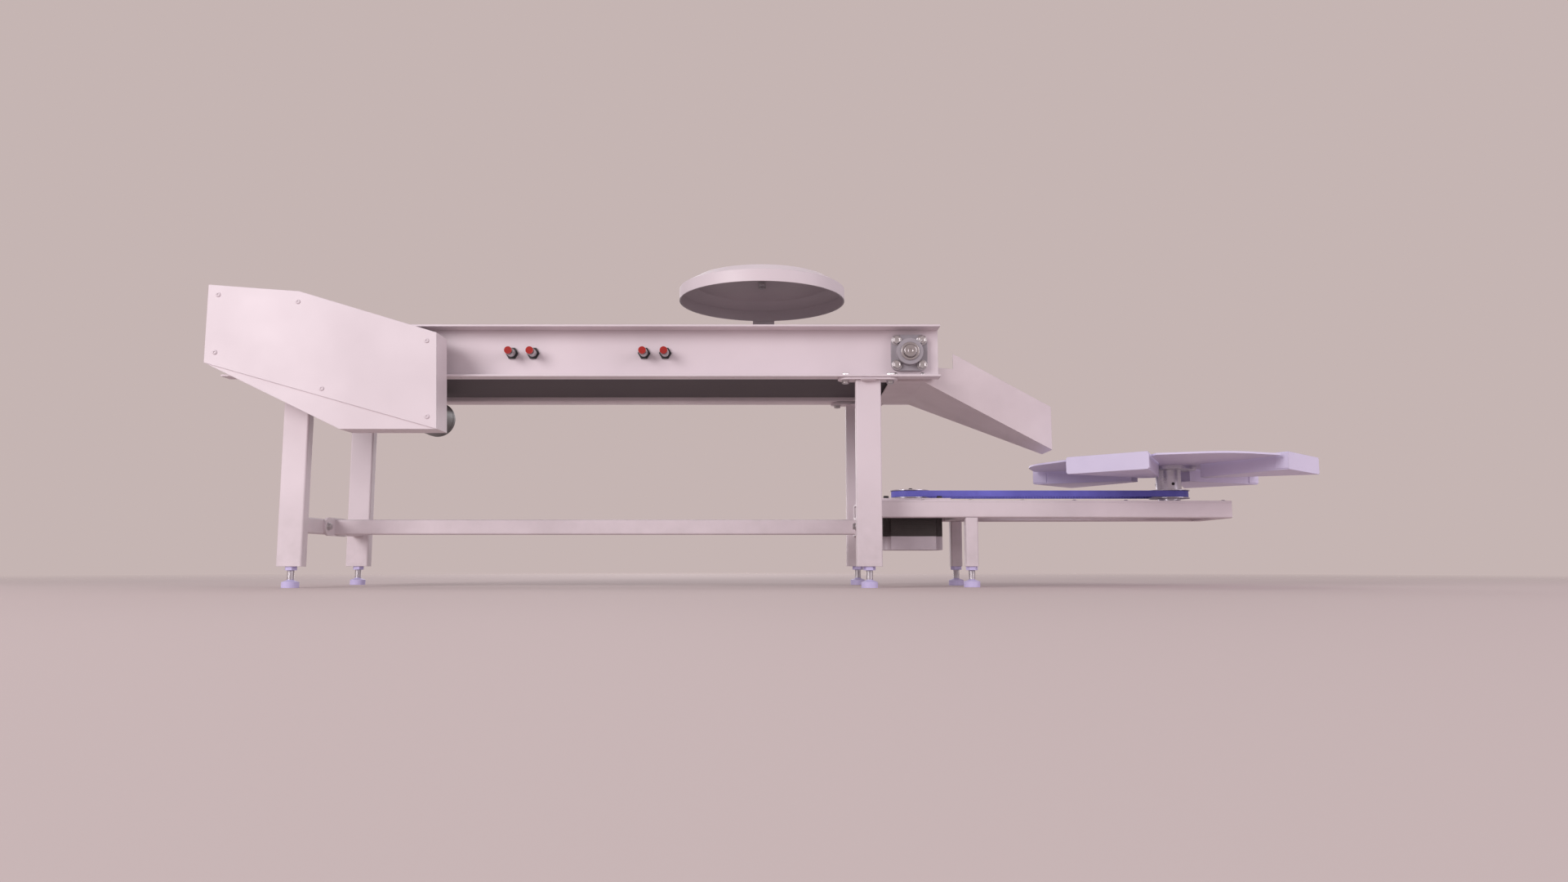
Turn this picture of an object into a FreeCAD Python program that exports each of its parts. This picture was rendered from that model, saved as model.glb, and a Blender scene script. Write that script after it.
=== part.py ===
import FreeCAD, Part
import Sketcher
import math
import os
import re

# Sorting conveyor: a short belt conveyor on four legs, a chute at its head end, and a low
# table that carries a belt-driven carousel of four trays and four flat petals.
# Millimetres. X runs along the belt, towards the carousel. Y runs to the rear rail. Z is up
# from the floor. The origin lies on the floor, under the middle of the machine's length.

doc = FreeCAD.newDocument("SortingConveyor")
sheet = doc.addObject("Spreadsheet::Sheet", "Sizes")

# name, value, what it is
SIZES = [
    ("Gap", 0.3, "seating gap between pieces that only rest on each other"),
    ("ShaftFit", 0.05, "radial play of a shaft in its bore"),
    ("RailLeft", -885.4, "infeed end of both rails"),
    ("RailLength", 1132.2, "length of both rails"),
    ("RailBottom", 330, "underside of the rails"),
    ("RailHeight", 83, "rail height"),
    ("RailInner", 118, "inner face of each rail's web, from the centre line"),
    ("RailFlange", 32, "width of the rail's flanges"),
    ("RailSheet", 3, "rail sheet thickness"),
    ("RailBend", 4, "outer bend radius of the rails"),
    ("RailHoleRadius", 3, "accessory holes in the front rail's lower flange"),
    ("RailHoleStart", 395.5, "first accessory hole, from the rail's head end"),
    ("RailHolePitch", 67.6, "pitch of the accessory holes"),
    ("RailHoleInset", 14, "accessory holes, from the flange's free edge"),
    ("LoneHole", 372.4, "single hole beside the guard, from the rail's infeed end"),
    ("DriveLegInset", 118.4, "legs at the drive end, from the rail's infeed end"),
    ("HeadLegInset", 113.8, "legs at the head end, from the rail's head end"),
    ("LegY", 132, "legs, from the centre line"),
    ("LegTubeLong", 40, "leg tube size along the belt"),
    ("LegTubeWide", 20, "leg tube size across the belt"),
    ("TubeWall", 2, "wall of every tube"),
    ("TubeCorner", 3, "corner radius of every tube"),
    ("FootHeight", 33, "floor to the bottom of a leg tube"),
    ("FootRadius", 13, "levelling foot"),
    ("FootDisc", 12, "height of the levelling foot's disc"),
    ("FootSlope", 3, "height of the foot's sloped shoulder"),
    ("StudRadius", 5, "stud of a levelling foot"),
    ("NutRadius", 9.5, "lock nut of a levelling foot, over its corners"),
    ("NutHeight", 6, "height of a lock nut"),
    ("PlugDepth", 15, "plug in the bottom of a leg tube"),
    ("PadLong", 95, "rounded fixing pad, length"),
    ("PadWide", 30, "rounded fixing pad, width"),
    ("PadThick", 4, "rounded fixing pad, thickness"),
    ("PadHoleRadius", 3.3, "holes in a fixing pad"),
    ("PadHolePitch", 71, "distance between the holes of a fixing pad"),
    ("BarBottom", 86, "underside of the cross bars and the brace"),
    ("BarHigh", 25, "height of the cross bars, the brace and the table's tubes"),
    ("BarWide", 20, "width of the cross bars, the brace and the table's tubes"),
    ("RollerAxisUp", 42, "roller axes, above the rails' underside"),
    ("DriveRollerInset", 62.2, "drive roller axis, from the rail's infeed end"),
    ("HeadRollerInset", 46.8, "head roller axis, from the rail's head end"),
    ("RollerRadius", 32, "roller radius"),
    ("RollerEnd", 1, "reach of a roller past the belt's edge"),
    ("RollerShaft", 10, "roller shaft radius"),
    ("ShaftRoom", 1, "room round a roller shaft in the rail's web"),
    ("ShaftInset", 4, "end of a roller shaft, in from the rail's free edge"),
    ("BeltThick", 3, "conveyor belt thickness"),
    ("BeltHalf", 104.5, "half the conveyor belt's width"),
    ("BedDriveGap", 85.2, "drive roller axis to the slider bed"),
    ("BedHeadGap", 95, "slider bed to the head roller axis"),
    ("BedSheet", 1.5, "slider bed sheet thickness"),
    ("BedSide", 20, "height of the slider bed's folded sides"),
    ("BedRib", 12, "depth and width of the two ribs folded into the slider bed"),
    ("BedRibPlace", 55, "middle of a rib, from the centre line"),
    ("BearingSide", 58, "side of a bearing's square flange"),
    ("BearingCorner", 12, "corner radius of a bearing's flange"),
    ("BearingBase", 8, "thickness of a bearing's flange"),
    ("BearingRadius", 21, "radius of a bearing's round housing"),
    ("BearingBoss", 12, "height of a bearing's round housing"),
    ("GuardDepth", 50.7, "depth of the drive guard with its back plate and cover"),
    ("GuardWall", 2, "drive guard sheet thickness"),
    ("GuardCover", 1.5, "thickness of the guard's front cover"),
    ("GuardLowLeft", 12, "guard's infeed corner, above the rail's underside"),
    ("GuardHighLeft", 134, "guard's upper infeed corner, above the rail's underside"),
    ("GuardDrop", 90, "guard's lowest edge, below the rail's underside"),
    ("GuardKnee", 211.4, "start of the guard's lowest edge, from its infeed end"),
    ("GuardLong", 358.9, "end of the guard's lowest edge, from its infeed end"),
    ("GuardLean", 5.5, "lean of the guard's head side"),
    ("GuardHighRight", 59, "guard's upper head corner, above the rail's underside"),
    ("GuardShoulder", 140, "guard's top shoulder, from its infeed end"),
    ("GuardShoulderUp", 123.5, "guard's top shoulder, above the rail's underside"),
    ("MotorInset", 269.8, "gearmotor axis, from the rail's infeed end"),
    ("MotorDown", 38, "gearmotor axis, below the rail's underside"),
    ("MotorRadius", 30.5, "gearmotor radius"),
    ("RingStep", 0.5, "step of the light rings from the gearmotor's radius"),
    ("NoseRing", 20, "light ring next to the guard"),
    ("GearLength", 45, "gearbox length"),
    ("MiddleRing", 11.7, "light ring between gearbox and motor"),
    ("MotorLength", 156, "motor length"),
    ("MotorEdge", 4, "chamfer at the motor's free end"),
    ("SensorStart", 449.8, "first sensor, from the rail's infeed end"),
    ("SensorPitch", 33.9, "distance of two sensors in a pair"),
    ("SensorPairs", 211.6, "distance of the two pairs of sensors"),
    ("SensorRadius", 6, "sensor barrel radius"),
    ("SensorReach", 26, "sensor barrel out of the rail's web"),
    ("SensorNut", 10, "sensor nut, over its corners"),
    ("SensorNutThick", 4, "thickness of a sensor nut"),
    ("LensReach", 3, "length of a sensor's red end"),
    ("HoodInset", 284.8, "middle of the round hood, from the rail's head end"),
    ("HoodClearance", 73, "underside of the hood, above the rails"),
    ("HoodRadius", 142, "hood radius"),
    ("HoodHeight", 34, "hood height"),
    ("HoodWall", 2, "hood wall"),
    ("HoodRim", 20, "height of the hood's straight rim"),
    ("HoodSlope", 24, "width of the hood's sloped shoulder"),
    ("HoodClear", 1.5, "hood's edge to its bracket"),
    ("BracketThick", 6, "thickness of the hood's flat-bar bracket"),
    ("BracketWide", 40, "width of the hood's flat-bar bracket"),
    ("BracketOver", 30, "reach of the bracket past the middle of the hood"),
    ("BracketBend", 10, "outer bend radius of the bracket"),
    ("ChuteStart", 77.8, "start of the chute's flat lead-in, from the rail's head end"),
    ("ChuteKnee", 24.2, "where the chute starts to fall, from the rail's head end"),
    ("ChuteRun", 224.4, "length of the chute's fall, in plan"),
    ("ChuteUnder", 1, "chute's lead-in, under the rails"),
    ("ChuteDrop", 101, "fall of the chute from knee to end"),
    ("ChuteMouth", 36, "half width of the chute at its lower end"),
    ("ChuteSheet", 2, "chute sheet thickness"),
    ("ChuteLowWall", 22, "wall height inside the rails"),
    ("ChuteHighWall", 70, "wall height beyond the rails"),
    ("ChuteStep", 27, "where the chute's walls rise, past the rail's head end"),
    ("TableBeyond", 76.3, "carousel axis to the outer face of the table's end bar"),
    ("TableKnee", 168.6, "head legs' axis to where the table tapers, over its own legs"),
    ("TableHalf", 88.3, "half width of the table up to the knee"),
    ("TableEndHalf", 70, "half width of the table at its end"),
    ("DeckThick", 3, "deck plate thickness"),
    ("WindowStart", 15.4, "table's knee to the belt window"),
    ("WindowShort", 70.7, "end of the belt window to the carousel axis"),
    ("WindowHalf", 41, "half width of the belt window at its start"),
    ("WindowEndHalf", 31.5, "half width of the belt window at its end"),
    ("StepperAlong", 79.4, "head legs' axis to the stepper motor's axis"),
    ("StepperSide", 98, "side of the stepper motor"),
    ("StepperDrop", 51, "stepper motor's underside, below the table's underside"),
    ("StepperCap", 22, "height of the stepper's grey end cap"),
    ("StepperCorner", 12, "radius of the hollow corners of the stepper motor"),
    ("StepperRoom", 3, "room round the stepper motor in the deck"),
    ("GlandRadius", 4, "cable gland on the stepper's end cap"),
    ("GlandReach", 12, "reach of the cable gland"),
    ("GlandAside", 28, "cable gland, towards the rear"),
    ("MotorPlate", 5, "plate that holds the stepper motor on the deck"),
    ("MotorPlateRim", 12, "reach of that plate past the stepper motor"),
    ("BoreRoom", 5, "room round the shafts in the deck and the motor plate"),
    ("CarouselAlong", 518.5, "head legs' axis to the carousel's axis"),
    ("BlockSide", 80, "side of the bearing block"),
    ("BlockHeight", 19, "height of the bearing block under the deck"),
    ("BlockEdge", 1.5, "chamfer of the bearing block"),
    ("ShaftRadius", 11.45, "carousel shaft radius"),
    ("ShaftRecess", 8, "shaft end, up from the block's underside"),
    ("MotorShaft", 7, "stepper motor shaft radius"),
    ("TimingUp", 9.5, "lower edge of the drive belt, above the deck"),
    ("TimingWide", 10, "width of the drive belt"),
    ("TimingThick", 3, "drive belt thickness"),
    ("PulleyRadius", 27.7, "toothed pulleys, over the teeth"),
    ("PulleyTeeth", 36, "teeth on each pulley"),
    ("ToothDeep", 1.3, "depth of the grooves between a pulley's teeth"),
    ("ToothHalf", 1.3, "half width of a groove at the pulley's rim"),
    ("PulleyRim", 5.3, "reach of a pulley's flanges past its teeth"),
    ("PulleyPlay", 0.5, "drive belt's edge to a pulley's flange"),
    ("PulleySide", 1.5, "thickness of a pulley's flanges"),
    ("PulleyBoss", 7, "wall of a pulley's boss"),
    ("TrayUp", 40, "underside of the trays, above the deck"),
    ("TrayHigh", 27, "height of a tray"),
    ("TraySheet", 1.5, "tray sheet thickness"),
    ("TrayReach", 218.8, "outer edge of a tray, from the carousel axis"),
    ("TrayHalf", 67.5, "half width of a tray at its outer edge"),
    ("TrayStart", 60, "round middle of the petal plate, where the trays start"),
    ("TrayStartHalf", 11.5, "half width of a tray at its inner end"),
    ("TabLong", 25, "tab of a tray on top of the petal plate"),
    ("TabInset", 2, "tab's sides, in from the tray's"),
    ("FlapLong", 22, "folded flaps at a tray's outer corners, length"),
    ("FlapInset", 2, "flaps, up from the tray's underside and down from its rim"),
    ("PetalUp", 21, "underside of the petal plate, above the trays' underside"),
    ("PetalSheet", 3, "petal plate thickness"),
    ("PetalPast", 5.2, "reach of a petal's two outer edges past the trays"),
    ("PetalRound", 108, "radius of a petal's rounded peak"),
    ("PetalRoom", 2.5, "room between a petal's side and a tray"),
    ("PetalCorner", 2.57, "angle between a tray's outer corner and a petal's"),
    ("HubRadius", 45, "hub flange radius"),
    ("HubThick", 6, "hub flange thickness"),
    ("HubWall", 9, "wall of the hub's sleeve"),
    ("CapThick", 6, "thickness of the hub's top cap"),
    ("CapEdge", 3, "chamfer of the hub's top cap"),
    ("CarouselTurn", 1, "carousel angle at rest"),
]
for row, (alias, number, note) in enumerate(SIZES, start=1):
    sheet.set(f"A{row}", note)
    sheet.set(f"B{row}", str(number))
    sheet.setAlias(f"B{row}", alias)
doc.recompute()

# Places that several pieces share, worked out from the sizes
rail_right = "(RailLeft + RailLength)"
rail_top = "(RailBottom + RailHeight)"
rail_skin = "(RailInner + RailSheet)"
rail_edge = "(RailInner + RailFlange)"
drive_leg = "(RailLeft + DriveLegInset)"
head_leg = f"({rail_right} - HeadLegInset)"
roller_z = "(RailBottom + RollerAxisUp)"
drive_roller = "(RailLeft + DriveRollerInset)"
head_roller = f"({rail_right} - HeadRollerInset)"
table_left = f"({head_leg} - BarWide / 2)"
table_knee = f"({head_leg} + TableKnee)"
table_bottom = "(BarBottom + BarHigh)"
deck_bottom = f"({table_bottom} + BarHigh)"
deck_top = f"({deck_bottom} + DeckThick)"
stepper_x = f"({head_leg} + StepperAlong)"
carousel_x = f"({head_leg} + CarouselAlong)"
table_end = f"({carousel_x} + TableBeyond)"
tray_low = f"({deck_top} + TrayUp)"
tray_slope = "((TrayHalf - TrayStartHalf) / (TrayReach - TrayStart - Gap))"
tray_side = f"(TraySheet * sqrt(1 + {tray_slope} ^ 2))"
petal_low = f"({tray_low} + PetalUp)"
petal_top = f"({petal_low} + PetalSheet)"

nodes = []
AXIS_TURNS = {"X": (FreeCAD.Vector(0, 1, 0), 90), "Y": (FreeCAD.Vector(1, 0, 0), -90)}


def cells(expression):
    """The expression with each capitalised word read from the sheet."""
    return re.sub(r"\b([A-Z]\w+)\b", r"Sizes.\1", str(expression))


def value(expression):
    return float(sheet.evalExpression(str(expression)))


def bind(item, **properties):
    for name, expression in properties.items():
        item.setExpression(name, cells(expression))


def place(item, x=0, y=0, z=0):
    for path, expression in (("x", x), ("y", y), ("z", z)):
        item.setExpression(f"Placement.Base.{path}", cells(expression))


def lay_along(item, axis):
    """Turns a piece made along Z so that it points along another axis."""
    if axis in AXIS_TURNS:
        item.Placement.Rotation = FreeCAD.Rotation(*AXIS_TURNS[axis])


def turn_about_z(item, degrees):
    item.Placement.Rotation = FreeCAD.Rotation(FreeCAD.Vector(0, 0, 1), value(degrees))
    item.setExpression("Placement.Rotation.Angle", cells(degrees))


def node(item, label):
    """Marks a finished sub-part and gives it the name of its file."""
    item.Label = label
    nodes.append(item)
    return item


def box(name, size, corner):
    item = doc.addObject("Part::Box", name)
    bind(item, Length=size[0], Width=size[1], Height=size[2])
    place(item, *corner)
    return item


def cylinder(name, radius, height, base, axis="Z"):
    item = doc.addObject("Part::Cylinder", name)
    lay_along(item, axis)
    bind(item, Radius=radius, Height=height)
    place(item, *base)
    return item


def hexagon(name, radius, height, base, axis="Z"):
    item = doc.addObject("Part::Prism", name)
    item.Polygon = 6
    lay_along(item, axis)
    bind(item, Circumradius=radius, Height=height)
    place(item, *base)
    return item


def cut(name, base, tool):
    item = doc.addObject("Part::Cut", name)
    item.Base = base
    item.Tool = tool
    return item


def fuse(name, shapes):
    item = doc.addObject("Part::MultiFuse", name)
    item.Shapes = shapes
    item.Refine = True
    return item


def common(name, shapes):
    item = doc.addObject("Part::MultiCommon", name)
    item.Shapes = shapes
    item.Refine = True
    return item


def group(name, shapes):
    """Like pieces of one body that don't touch."""
    item = doc.addObject("Part::Compound", name)
    item.Links = shapes
    return item


def sketch_on(body, name, plane, offset=0):
    """A sketch parallel to one of the body's origin planes."""
    sketch = body.newObject("Sketcher::SketchObject", name)
    support = [part for part in body.Origin.OriginFeatures if part.Role == plane][0]
    sketch.AttachmentSupport = [(support, "")]
    sketch.MapMode = "FlatFace"
    sketch.setExpression("AttachmentOffset.Base.z", cells(offset))
    return sketch


def hold(sketch, kind, *reference, size):
    """Adds a dimension whose size follows an expression."""
    number = sketch.addConstraint(Sketcher.Constraint(kind, *reference, value(size)))
    sketch.setExpression(f"Constraints[{number}]", cells(size))


def fix(sketch, geometry, end, point):
    """Holds one point of the sketch at two distances from its origin."""
    hold(sketch, "DistanceX", -1, 1, geometry, end, size=point[0])
    hold(sketch, "DistanceY", -1, 1, geometry, end, size=point[1])


def spot(point):
    return FreeCAD.Vector(value(point[0]), value(point[1]), 0)


def polygon(sketch, points):
    corners = [spot(point) for point in points]
    first = sketch.GeometryCount
    for index, corner in enumerate(corners):
        following = corners[(index + 1) % len(corners)]
        sketch.addGeometry(Part.LineSegment(corner, following), False)
    for index, point in enumerate(points):
        before = first + (index - 1) % len(points)
        sketch.addConstraint(Sketcher.Constraint("Coincident", before, 2, first + index, 1))
        fix(sketch, first + index, 1, point)


def circle(sketch, centre, radius):
    ring = Part.Circle(spot(centre), FreeCAD.Vector(0, 0, 1), value(radius))
    index = sketch.addGeometry(ring, False)
    fix(sketch, index, 3, centre)
    hold(sketch, "Radius", index, size=radius)


def arc_at(centre, radius, start, end):
    """An arc between two angles, given in quarter turns."""
    ring = Part.Circle(centre, FreeCAD.Vector(0, 0, 1), radius)
    return Part.ArcOfCircle(ring, start * math.pi / 2, end * math.pi / 2)


def slot(sketch, left, right, radius):
    """A closed outline of two half circles and two straight lines, level in the sketch."""
    size = value(radius)
    first = sketch.GeometryCount
    start, end = spot(left), spot(right)
    up = FreeCAD.Vector(0, size, 0)
    sketch.addGeometry(arc_at(start, size, 1, 3), False)
    sketch.addGeometry(Part.LineSegment(start - up, end - up), False)
    sketch.addGeometry(arc_at(end, size, -1, 1), False)
    sketch.addGeometry(Part.LineSegment(end + up, start + up), False)
    for this, following in ((0, 1), (1, 2), (2, 3), (3, 0)):
        sketch.addConstraint(
            Sketcher.Constraint("Tangent", first + this, 2, first + following, 1))
    fix(sketch, first, 3, left)
    hold(sketch, "DistanceX", -1, 1, first + 2, 3, size=right[0])
    hold(sketch, "Radius", first, size=radius)


def rounded(sketch, left, right, low, high, radius):
    """A rectangle with four equal round corners."""
    size = value(radius)
    first = sketch.GeometryCount
    xs, ys = (value(left), value(right)), (value(low), value(high))
    centres = [
        FreeCAD.Vector(xs[1] - size, ys[0] + size, 0), FreeCAD.Vector(xs[1] - size, ys[1] - size, 0),
        FreeCAD.Vector(xs[0] + size, ys[1] - size, 0), FreeCAD.Vector(xs[0] + size, ys[0] + size, 0)]
    outward = [FreeCAD.Vector(*way, 0) for way in ((0, -1), (1, 0), (0, 1), (-1, 0))]
    for side in range(4):
        push = outward[side] * size
        sketch.addGeometry(
            Part.LineSegment(centres[side - 1] + push, centres[side] + push), False)
        sketch.addGeometry(arc_at(centres[side], size, side - 1, side), False)
    for index in range(8):
        following = first + (index + 1) % 8
        sketch.addConstraint(Sketcher.Constraint("Tangent", first + index, 2, following, 1))
    for index, kind in ((0, "Horizontal"), (2, "Vertical")):
        sketch.addConstraint(Sketcher.Constraint(kind, first + index))
    for corner in (3, 5, 7):
        sketch.addConstraint(Sketcher.Constraint("Equal", first + 1, first + corner))
    hold(sketch, "Radius", first + 1, size=radius)
    hold(sketch, "DistanceY", -1, 1, first, 1, size=low)
    hold(sketch, "DistanceX", -1, 1, first + 2, 1, size=right)
    hold(sketch, "DistanceY", -1, 1, first + 4, 1, size=high)
    hold(sketch, "DistanceX", -1, 1, first + 6, 1, size=left)


def pad(body, sketch, length, midplane=False):
    feature = body.newObject("PartDesign::Pad", sketch.Name + "Pad")
    feature.Profile = sketch
    bind(feature, Length=length)
    if midplane:
        feature.SideType = "Symmetric"
    body.Tip = feature
    return feature


def pocket(body, sketch, length, ahead=True):
    """Cuts along the sketch's normal, or against it when ahead is false."""
    doc.recompute()
    before = body.Shape.Volume
    feature = body.newObject("PartDesign::Pocket", sketch.Name + "Pocket")
    feature.Profile = sketch
    feature.Reversed = ahead
    bind(feature, Length=length)
    body.Tip = feature
    doc.recompute()
    if not body.Shape.Volume < before - 0.01:
        raise RuntimeError(f"{sketch.Name} cuts nothing")
    return feature


def soften(body, name, radius, wanted, kind="Fillet"):
    """Rounds or chamfers the body's edges for which wanted(first point, last point) holds."""
    doc.recompute()
    edges = []
    for number, edge in enumerate(body.Shape.Edges, start=1):
        ends = [vertex.Point for vertex in edge.Vertexes]
        if len(ends) == 2 and wanted(*ends):
            edges.append(f"Edge{number}")
    solid = body.Tip
    feature = body.newObject(f"PartDesign::{kind}", name)
    feature.Base = (solid, edges)
    if kind == "Fillet":
        bind(feature, Radius=radius)
    else:
        bind(feature, Size=radius)
    body.Tip = feature
    return feature


def extruded(name, plane, points, start, length):
    """A body with one straight-sided outline, padded from a plane."""
    body = doc.addObject("PartDesign::Body", name)
    sketch = sketch_on(body, name + "Outline", plane, start)
    polygon(sketch, points)
    pad(body, sketch, length)
    return body


def turned(name, points, base=(0, 0, 0), axis="Z"):
    """A body turned about its own Z from (radius, height) corners, then laid along an axis."""
    body = doc.addObject("PartDesign::Body", name)
    sketch = sketch_on(body, name + "Profile", "XZ_Plane")
    polygon(sketch, points)
    feature = body.newObject("PartDesign::Revolution", name + "Turn")
    feature.Profile = sketch
    feature.ReferenceAxis = (sketch, ["V_Axis"])
    feature.Angle = 360
    body.Tip = feature
    lay_along(body, axis)
    place(body, *base)
    return body


def tube(name, plane, middle, size, start, length):
    """A rectangular tube with round corners, open at both ends."""
    body = doc.addObject("PartDesign::Body", name)
    sketch = sketch_on(body, name + "Section", plane, start)
    (x, y), (wide, high) = middle, size
    rounded(sketch, f"{x} - {wide} / 2", f"{x} + {wide} / 2", f"{y} - {high} / 2",
            f"{y} + {high} / 2", "TubeCorner")
    half_wide, half_high = f"({wide} / 2 - TubeWall)", f"({high} / 2 - TubeWall)"
    polygon(sketch, [
        (f"{x} - {half_wide}", f"{y} - {half_high}"), (f"{x} + {half_wide}", f"{y} - {half_high}"),
        (f"{x} + {half_wide}", f"{y} + {half_high}"), (f"{x} - {half_wide}", f"{y} + {half_high}"),
    ])
    pad(body, sketch, length)
    return body


def fixing_pad(name, plane, middle, offset):
    """A flat plate with round ends and two holes; offset is along the plane's normal."""
    body = doc.addObject("PartDesign::Body", name)
    sketch = sketch_on(body, name + "Outline", plane, offset)
    x, y = middle
    reach = "(PadLong - PadWide) / 2"
    slot(sketch, (f"{x} - {reach}", y), (f"{x} + {reach}", y), "PadWide / 2")
    for side in ("-", "+"):
        circle(sketch, (f"{x} {side} PadHolePitch / 2", y), "PadHoleRadius")
    pad(body, sketch, "PadThick")
    return body


def rail(name, side):
    """A channel that opens outwards, with its two bends rounded."""
    web, skin, lip = f"{side}RailInner", f"{side}{rail_skin}", f"{side}{rail_edge}"
    body = extruded(name, "YZ_Plane", [
        (web, "RailBottom"), (lip, "RailBottom"), (lip, "RailBottom + RailSheet"),
        (skin, "RailBottom + RailSheet"), (skin, f"{rail_top} - RailSheet"),
        (lip, f"{rail_top} - RailSheet"), (lip, rail_top), (web, rail_top),
    ], "RailLeft", "RailLength")
    web_y = value(web)
    soften(body, name + "Bends", "RailBend", lambda first, last:
           abs(first.x - last.x) > 1 and abs(first.y - web_y) < 0.1)
    return body


def make_rails():
    front = node(rail("FrontRail", "-"), "front_rail")
    rear = node(rail("RearRail", "+"), "rear_rail")
    holes = sketch_on(front, "AccessoryHoles", "XY_Plane", "RailBottom")
    hole_y = f"-({rail_edge} - RailHoleInset)"
    for index in range(4):
        hole_x = f"{rail_right} - RailHoleStart + {index} * RailHolePitch"
        circle(holes, (hole_x, hole_y), "RailHoleRadius")
    circle(holes, ("RailLeft + LoneHole", hole_y), "RailHoleRadius")
    pocket(front, holes, "RailSheet")
    for body, start in ((front, "RailInner"), (rear, f"-{rail_skin}")):
        bores = sketch_on(body, body.Name + "Bores", "XZ_Plane", start)
        for roller_x in (drive_roller, head_roller):
            circle(bores, (roller_x, roller_z), "RollerShaft + ShaftRoom")
        if body is front:
            for sensor_x in sensor_places():
                circle(bores, (sensor_x, roller_z), "SensorRadius + ShaftFit")
        pocket(body, bores, "RailSheet")


def make_bed():
    """A folded sheet under the carrying run, with two ribs and a folded side at each rail."""
    top = f"({roller_z} + RollerRadius)"
    under, side = f"({top} - BedSheet)", f"({top} - BedSide)"
    low, floor = f"({top} - BedRib)", f"({top} - BedRib + BedSheet)"
    left, right = "(BedRibPlace - BedRib / 2)", "(BedRibPlace + BedRib / 2)"
    half = [
        (0, under), (left, under), (f"{left} + BedSheet", low), (f"{right} - BedSheet", low),
        (right, under), ("RailInner - BedSheet", under), ("RailInner - BedSheet", side),
        ("RailInner", side), ("RailInner", top), (f"{right} - BedSheet", top),
        (f"{right} - 2 * BedSheet", floor), (f"{left} + 2 * BedSheet", floor),
        (f"{left} + BedSheet", top)]
    other_half = [(f"-({y})", z) for y, z in reversed(half[1:])]
    length = f"{head_roller} - BedHeadGap - ({drive_roller} + BedDriveGap)"
    node(extruded("SliderBed", "YZ_Plane", half + other_half, f"{drive_roller} + BedDriveGap",
                  length), "slider_bed")


def levelling_foot(name, x, y, size):
    """A foot with its stud, its lock nut and the plug that fills the leg's open end."""
    stem = turned(name + "Stem", [
        (0, 0), ("FootRadius", 0), ("FootRadius", "FootDisc - FootSlope"),
        ("StudRadius", "FootDisc"), ("StudRadius", "FootHeight"), (0, "FootHeight"),
    ], (x, y, 0))
    nut = hexagon(name + "Nut", "NutRadius", "NutHeight", (x, y, "FootHeight - NutHeight"))
    plug = box(
        name + "Plug", (f"{size[0]} - 2 * TubeWall", f"{size[1]} - 2 * TubeWall", "PlugDepth"),
        (f"{x} - {size[0]} / 2 + TubeWall", f"{y} - {size[1]} / 2 + TubeWall", "FootHeight"))
    return fuse(name, [stem, nut, plug])


def make_legs():
    feet = []
    for end, leg_x in (("drive", drive_leg), ("head", head_leg)):
        for face, side in (("front", "-"), ("rear", "")):
            name = end.capitalize() + face.capitalize() + "Leg"
            leg_y = f"{side}LegY"
            size = ("LegTubeLong", "LegTubeWide")
            leg = tube(name + "Tube", "XY_Plane", (leg_x, leg_y), size, "FootHeight",
                       "RailBottom - PadThick - FootHeight")
            top = fixing_pad(name + "Pad", "XY_Plane", (leg_x, leg_y), "RailBottom - PadThick")
            node(fuse(name, [leg, top]), f"leg_{end}_{face}")
            feet.append(levelling_foot(name + "Foot", leg_x, leg_y, size))
    node(group("ConveyorFeet", feet), "conveyor_feet")


def make_bars():
    """Cross bars between the legs, and the brace between the cross bars."""
    reach = "(LegY - LegTubeWide / 2)"
    bar_z = "(BarBottom + BarHigh / 2)"
    for end, leg_x in (("drive", drive_leg), ("head", head_leg)):
        node(tube(end.capitalize() + "Bar", "XZ_Plane", (leg_x, bar_z), ("BarWide", "BarHigh"),
                  f"-{reach}", f"2 * {reach}"), f"cross_bar_{end}")
    left, right = f"({drive_leg} + BarWide / 2)", f"({head_leg} - BarWide / 2)"
    beam = tube("BraceTube", "YZ_Plane", (0, bar_z), ("BarWide", "BarHigh"),
                f"{left} + PadThick", f"{right} - {left} - 2 * PadThick")
    pads = [
        fixing_pad("BraceDrivePad", "YZ_Plane", (0, bar_z), left),
        fixing_pad("BraceHeadPad", "YZ_Plane", (0, bar_z), f"{right} - PadThick")]
    node(fuse("Brace", [beam] + pads), "brace_beam")


def make_belt():
    belt = doc.addObject("PartDesign::Body", "ConveyorBelt")
    loop = sketch_on(belt, "BeltLoop", "XZ_Plane", 0)
    ends = ((drive_roller, roller_z), (head_roller, roller_z))
    slot(loop, *ends, "RollerRadius + Gap + BeltThick")
    slot(loop, *ends, "RollerRadius + Gap")
    pad(belt, loop, "2 * BeltHalf", midplane=True)
    node(belt, "conveyor_belt")


def make_rollers():
    face = "(BeltHalf + RollerEnd)"
    tip = f"({rail_edge} - ShaftInset)"
    for end, roller_x in (("drive", drive_roller), ("head", head_roller)):
        node(turned(end.capitalize() + "Roller", [
            (0, f"-{tip}"), ("RollerShaft", f"-{tip}"), ("RollerShaft", f"-{face}"),
            ("RollerRadius", f"-{face}"), ("RollerRadius", face), ("RollerShaft", face),
            ("RollerShaft", tip), (0, tip),
        ], (roller_x, 0, roller_z), "Y"), f"roller_{end}")


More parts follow.
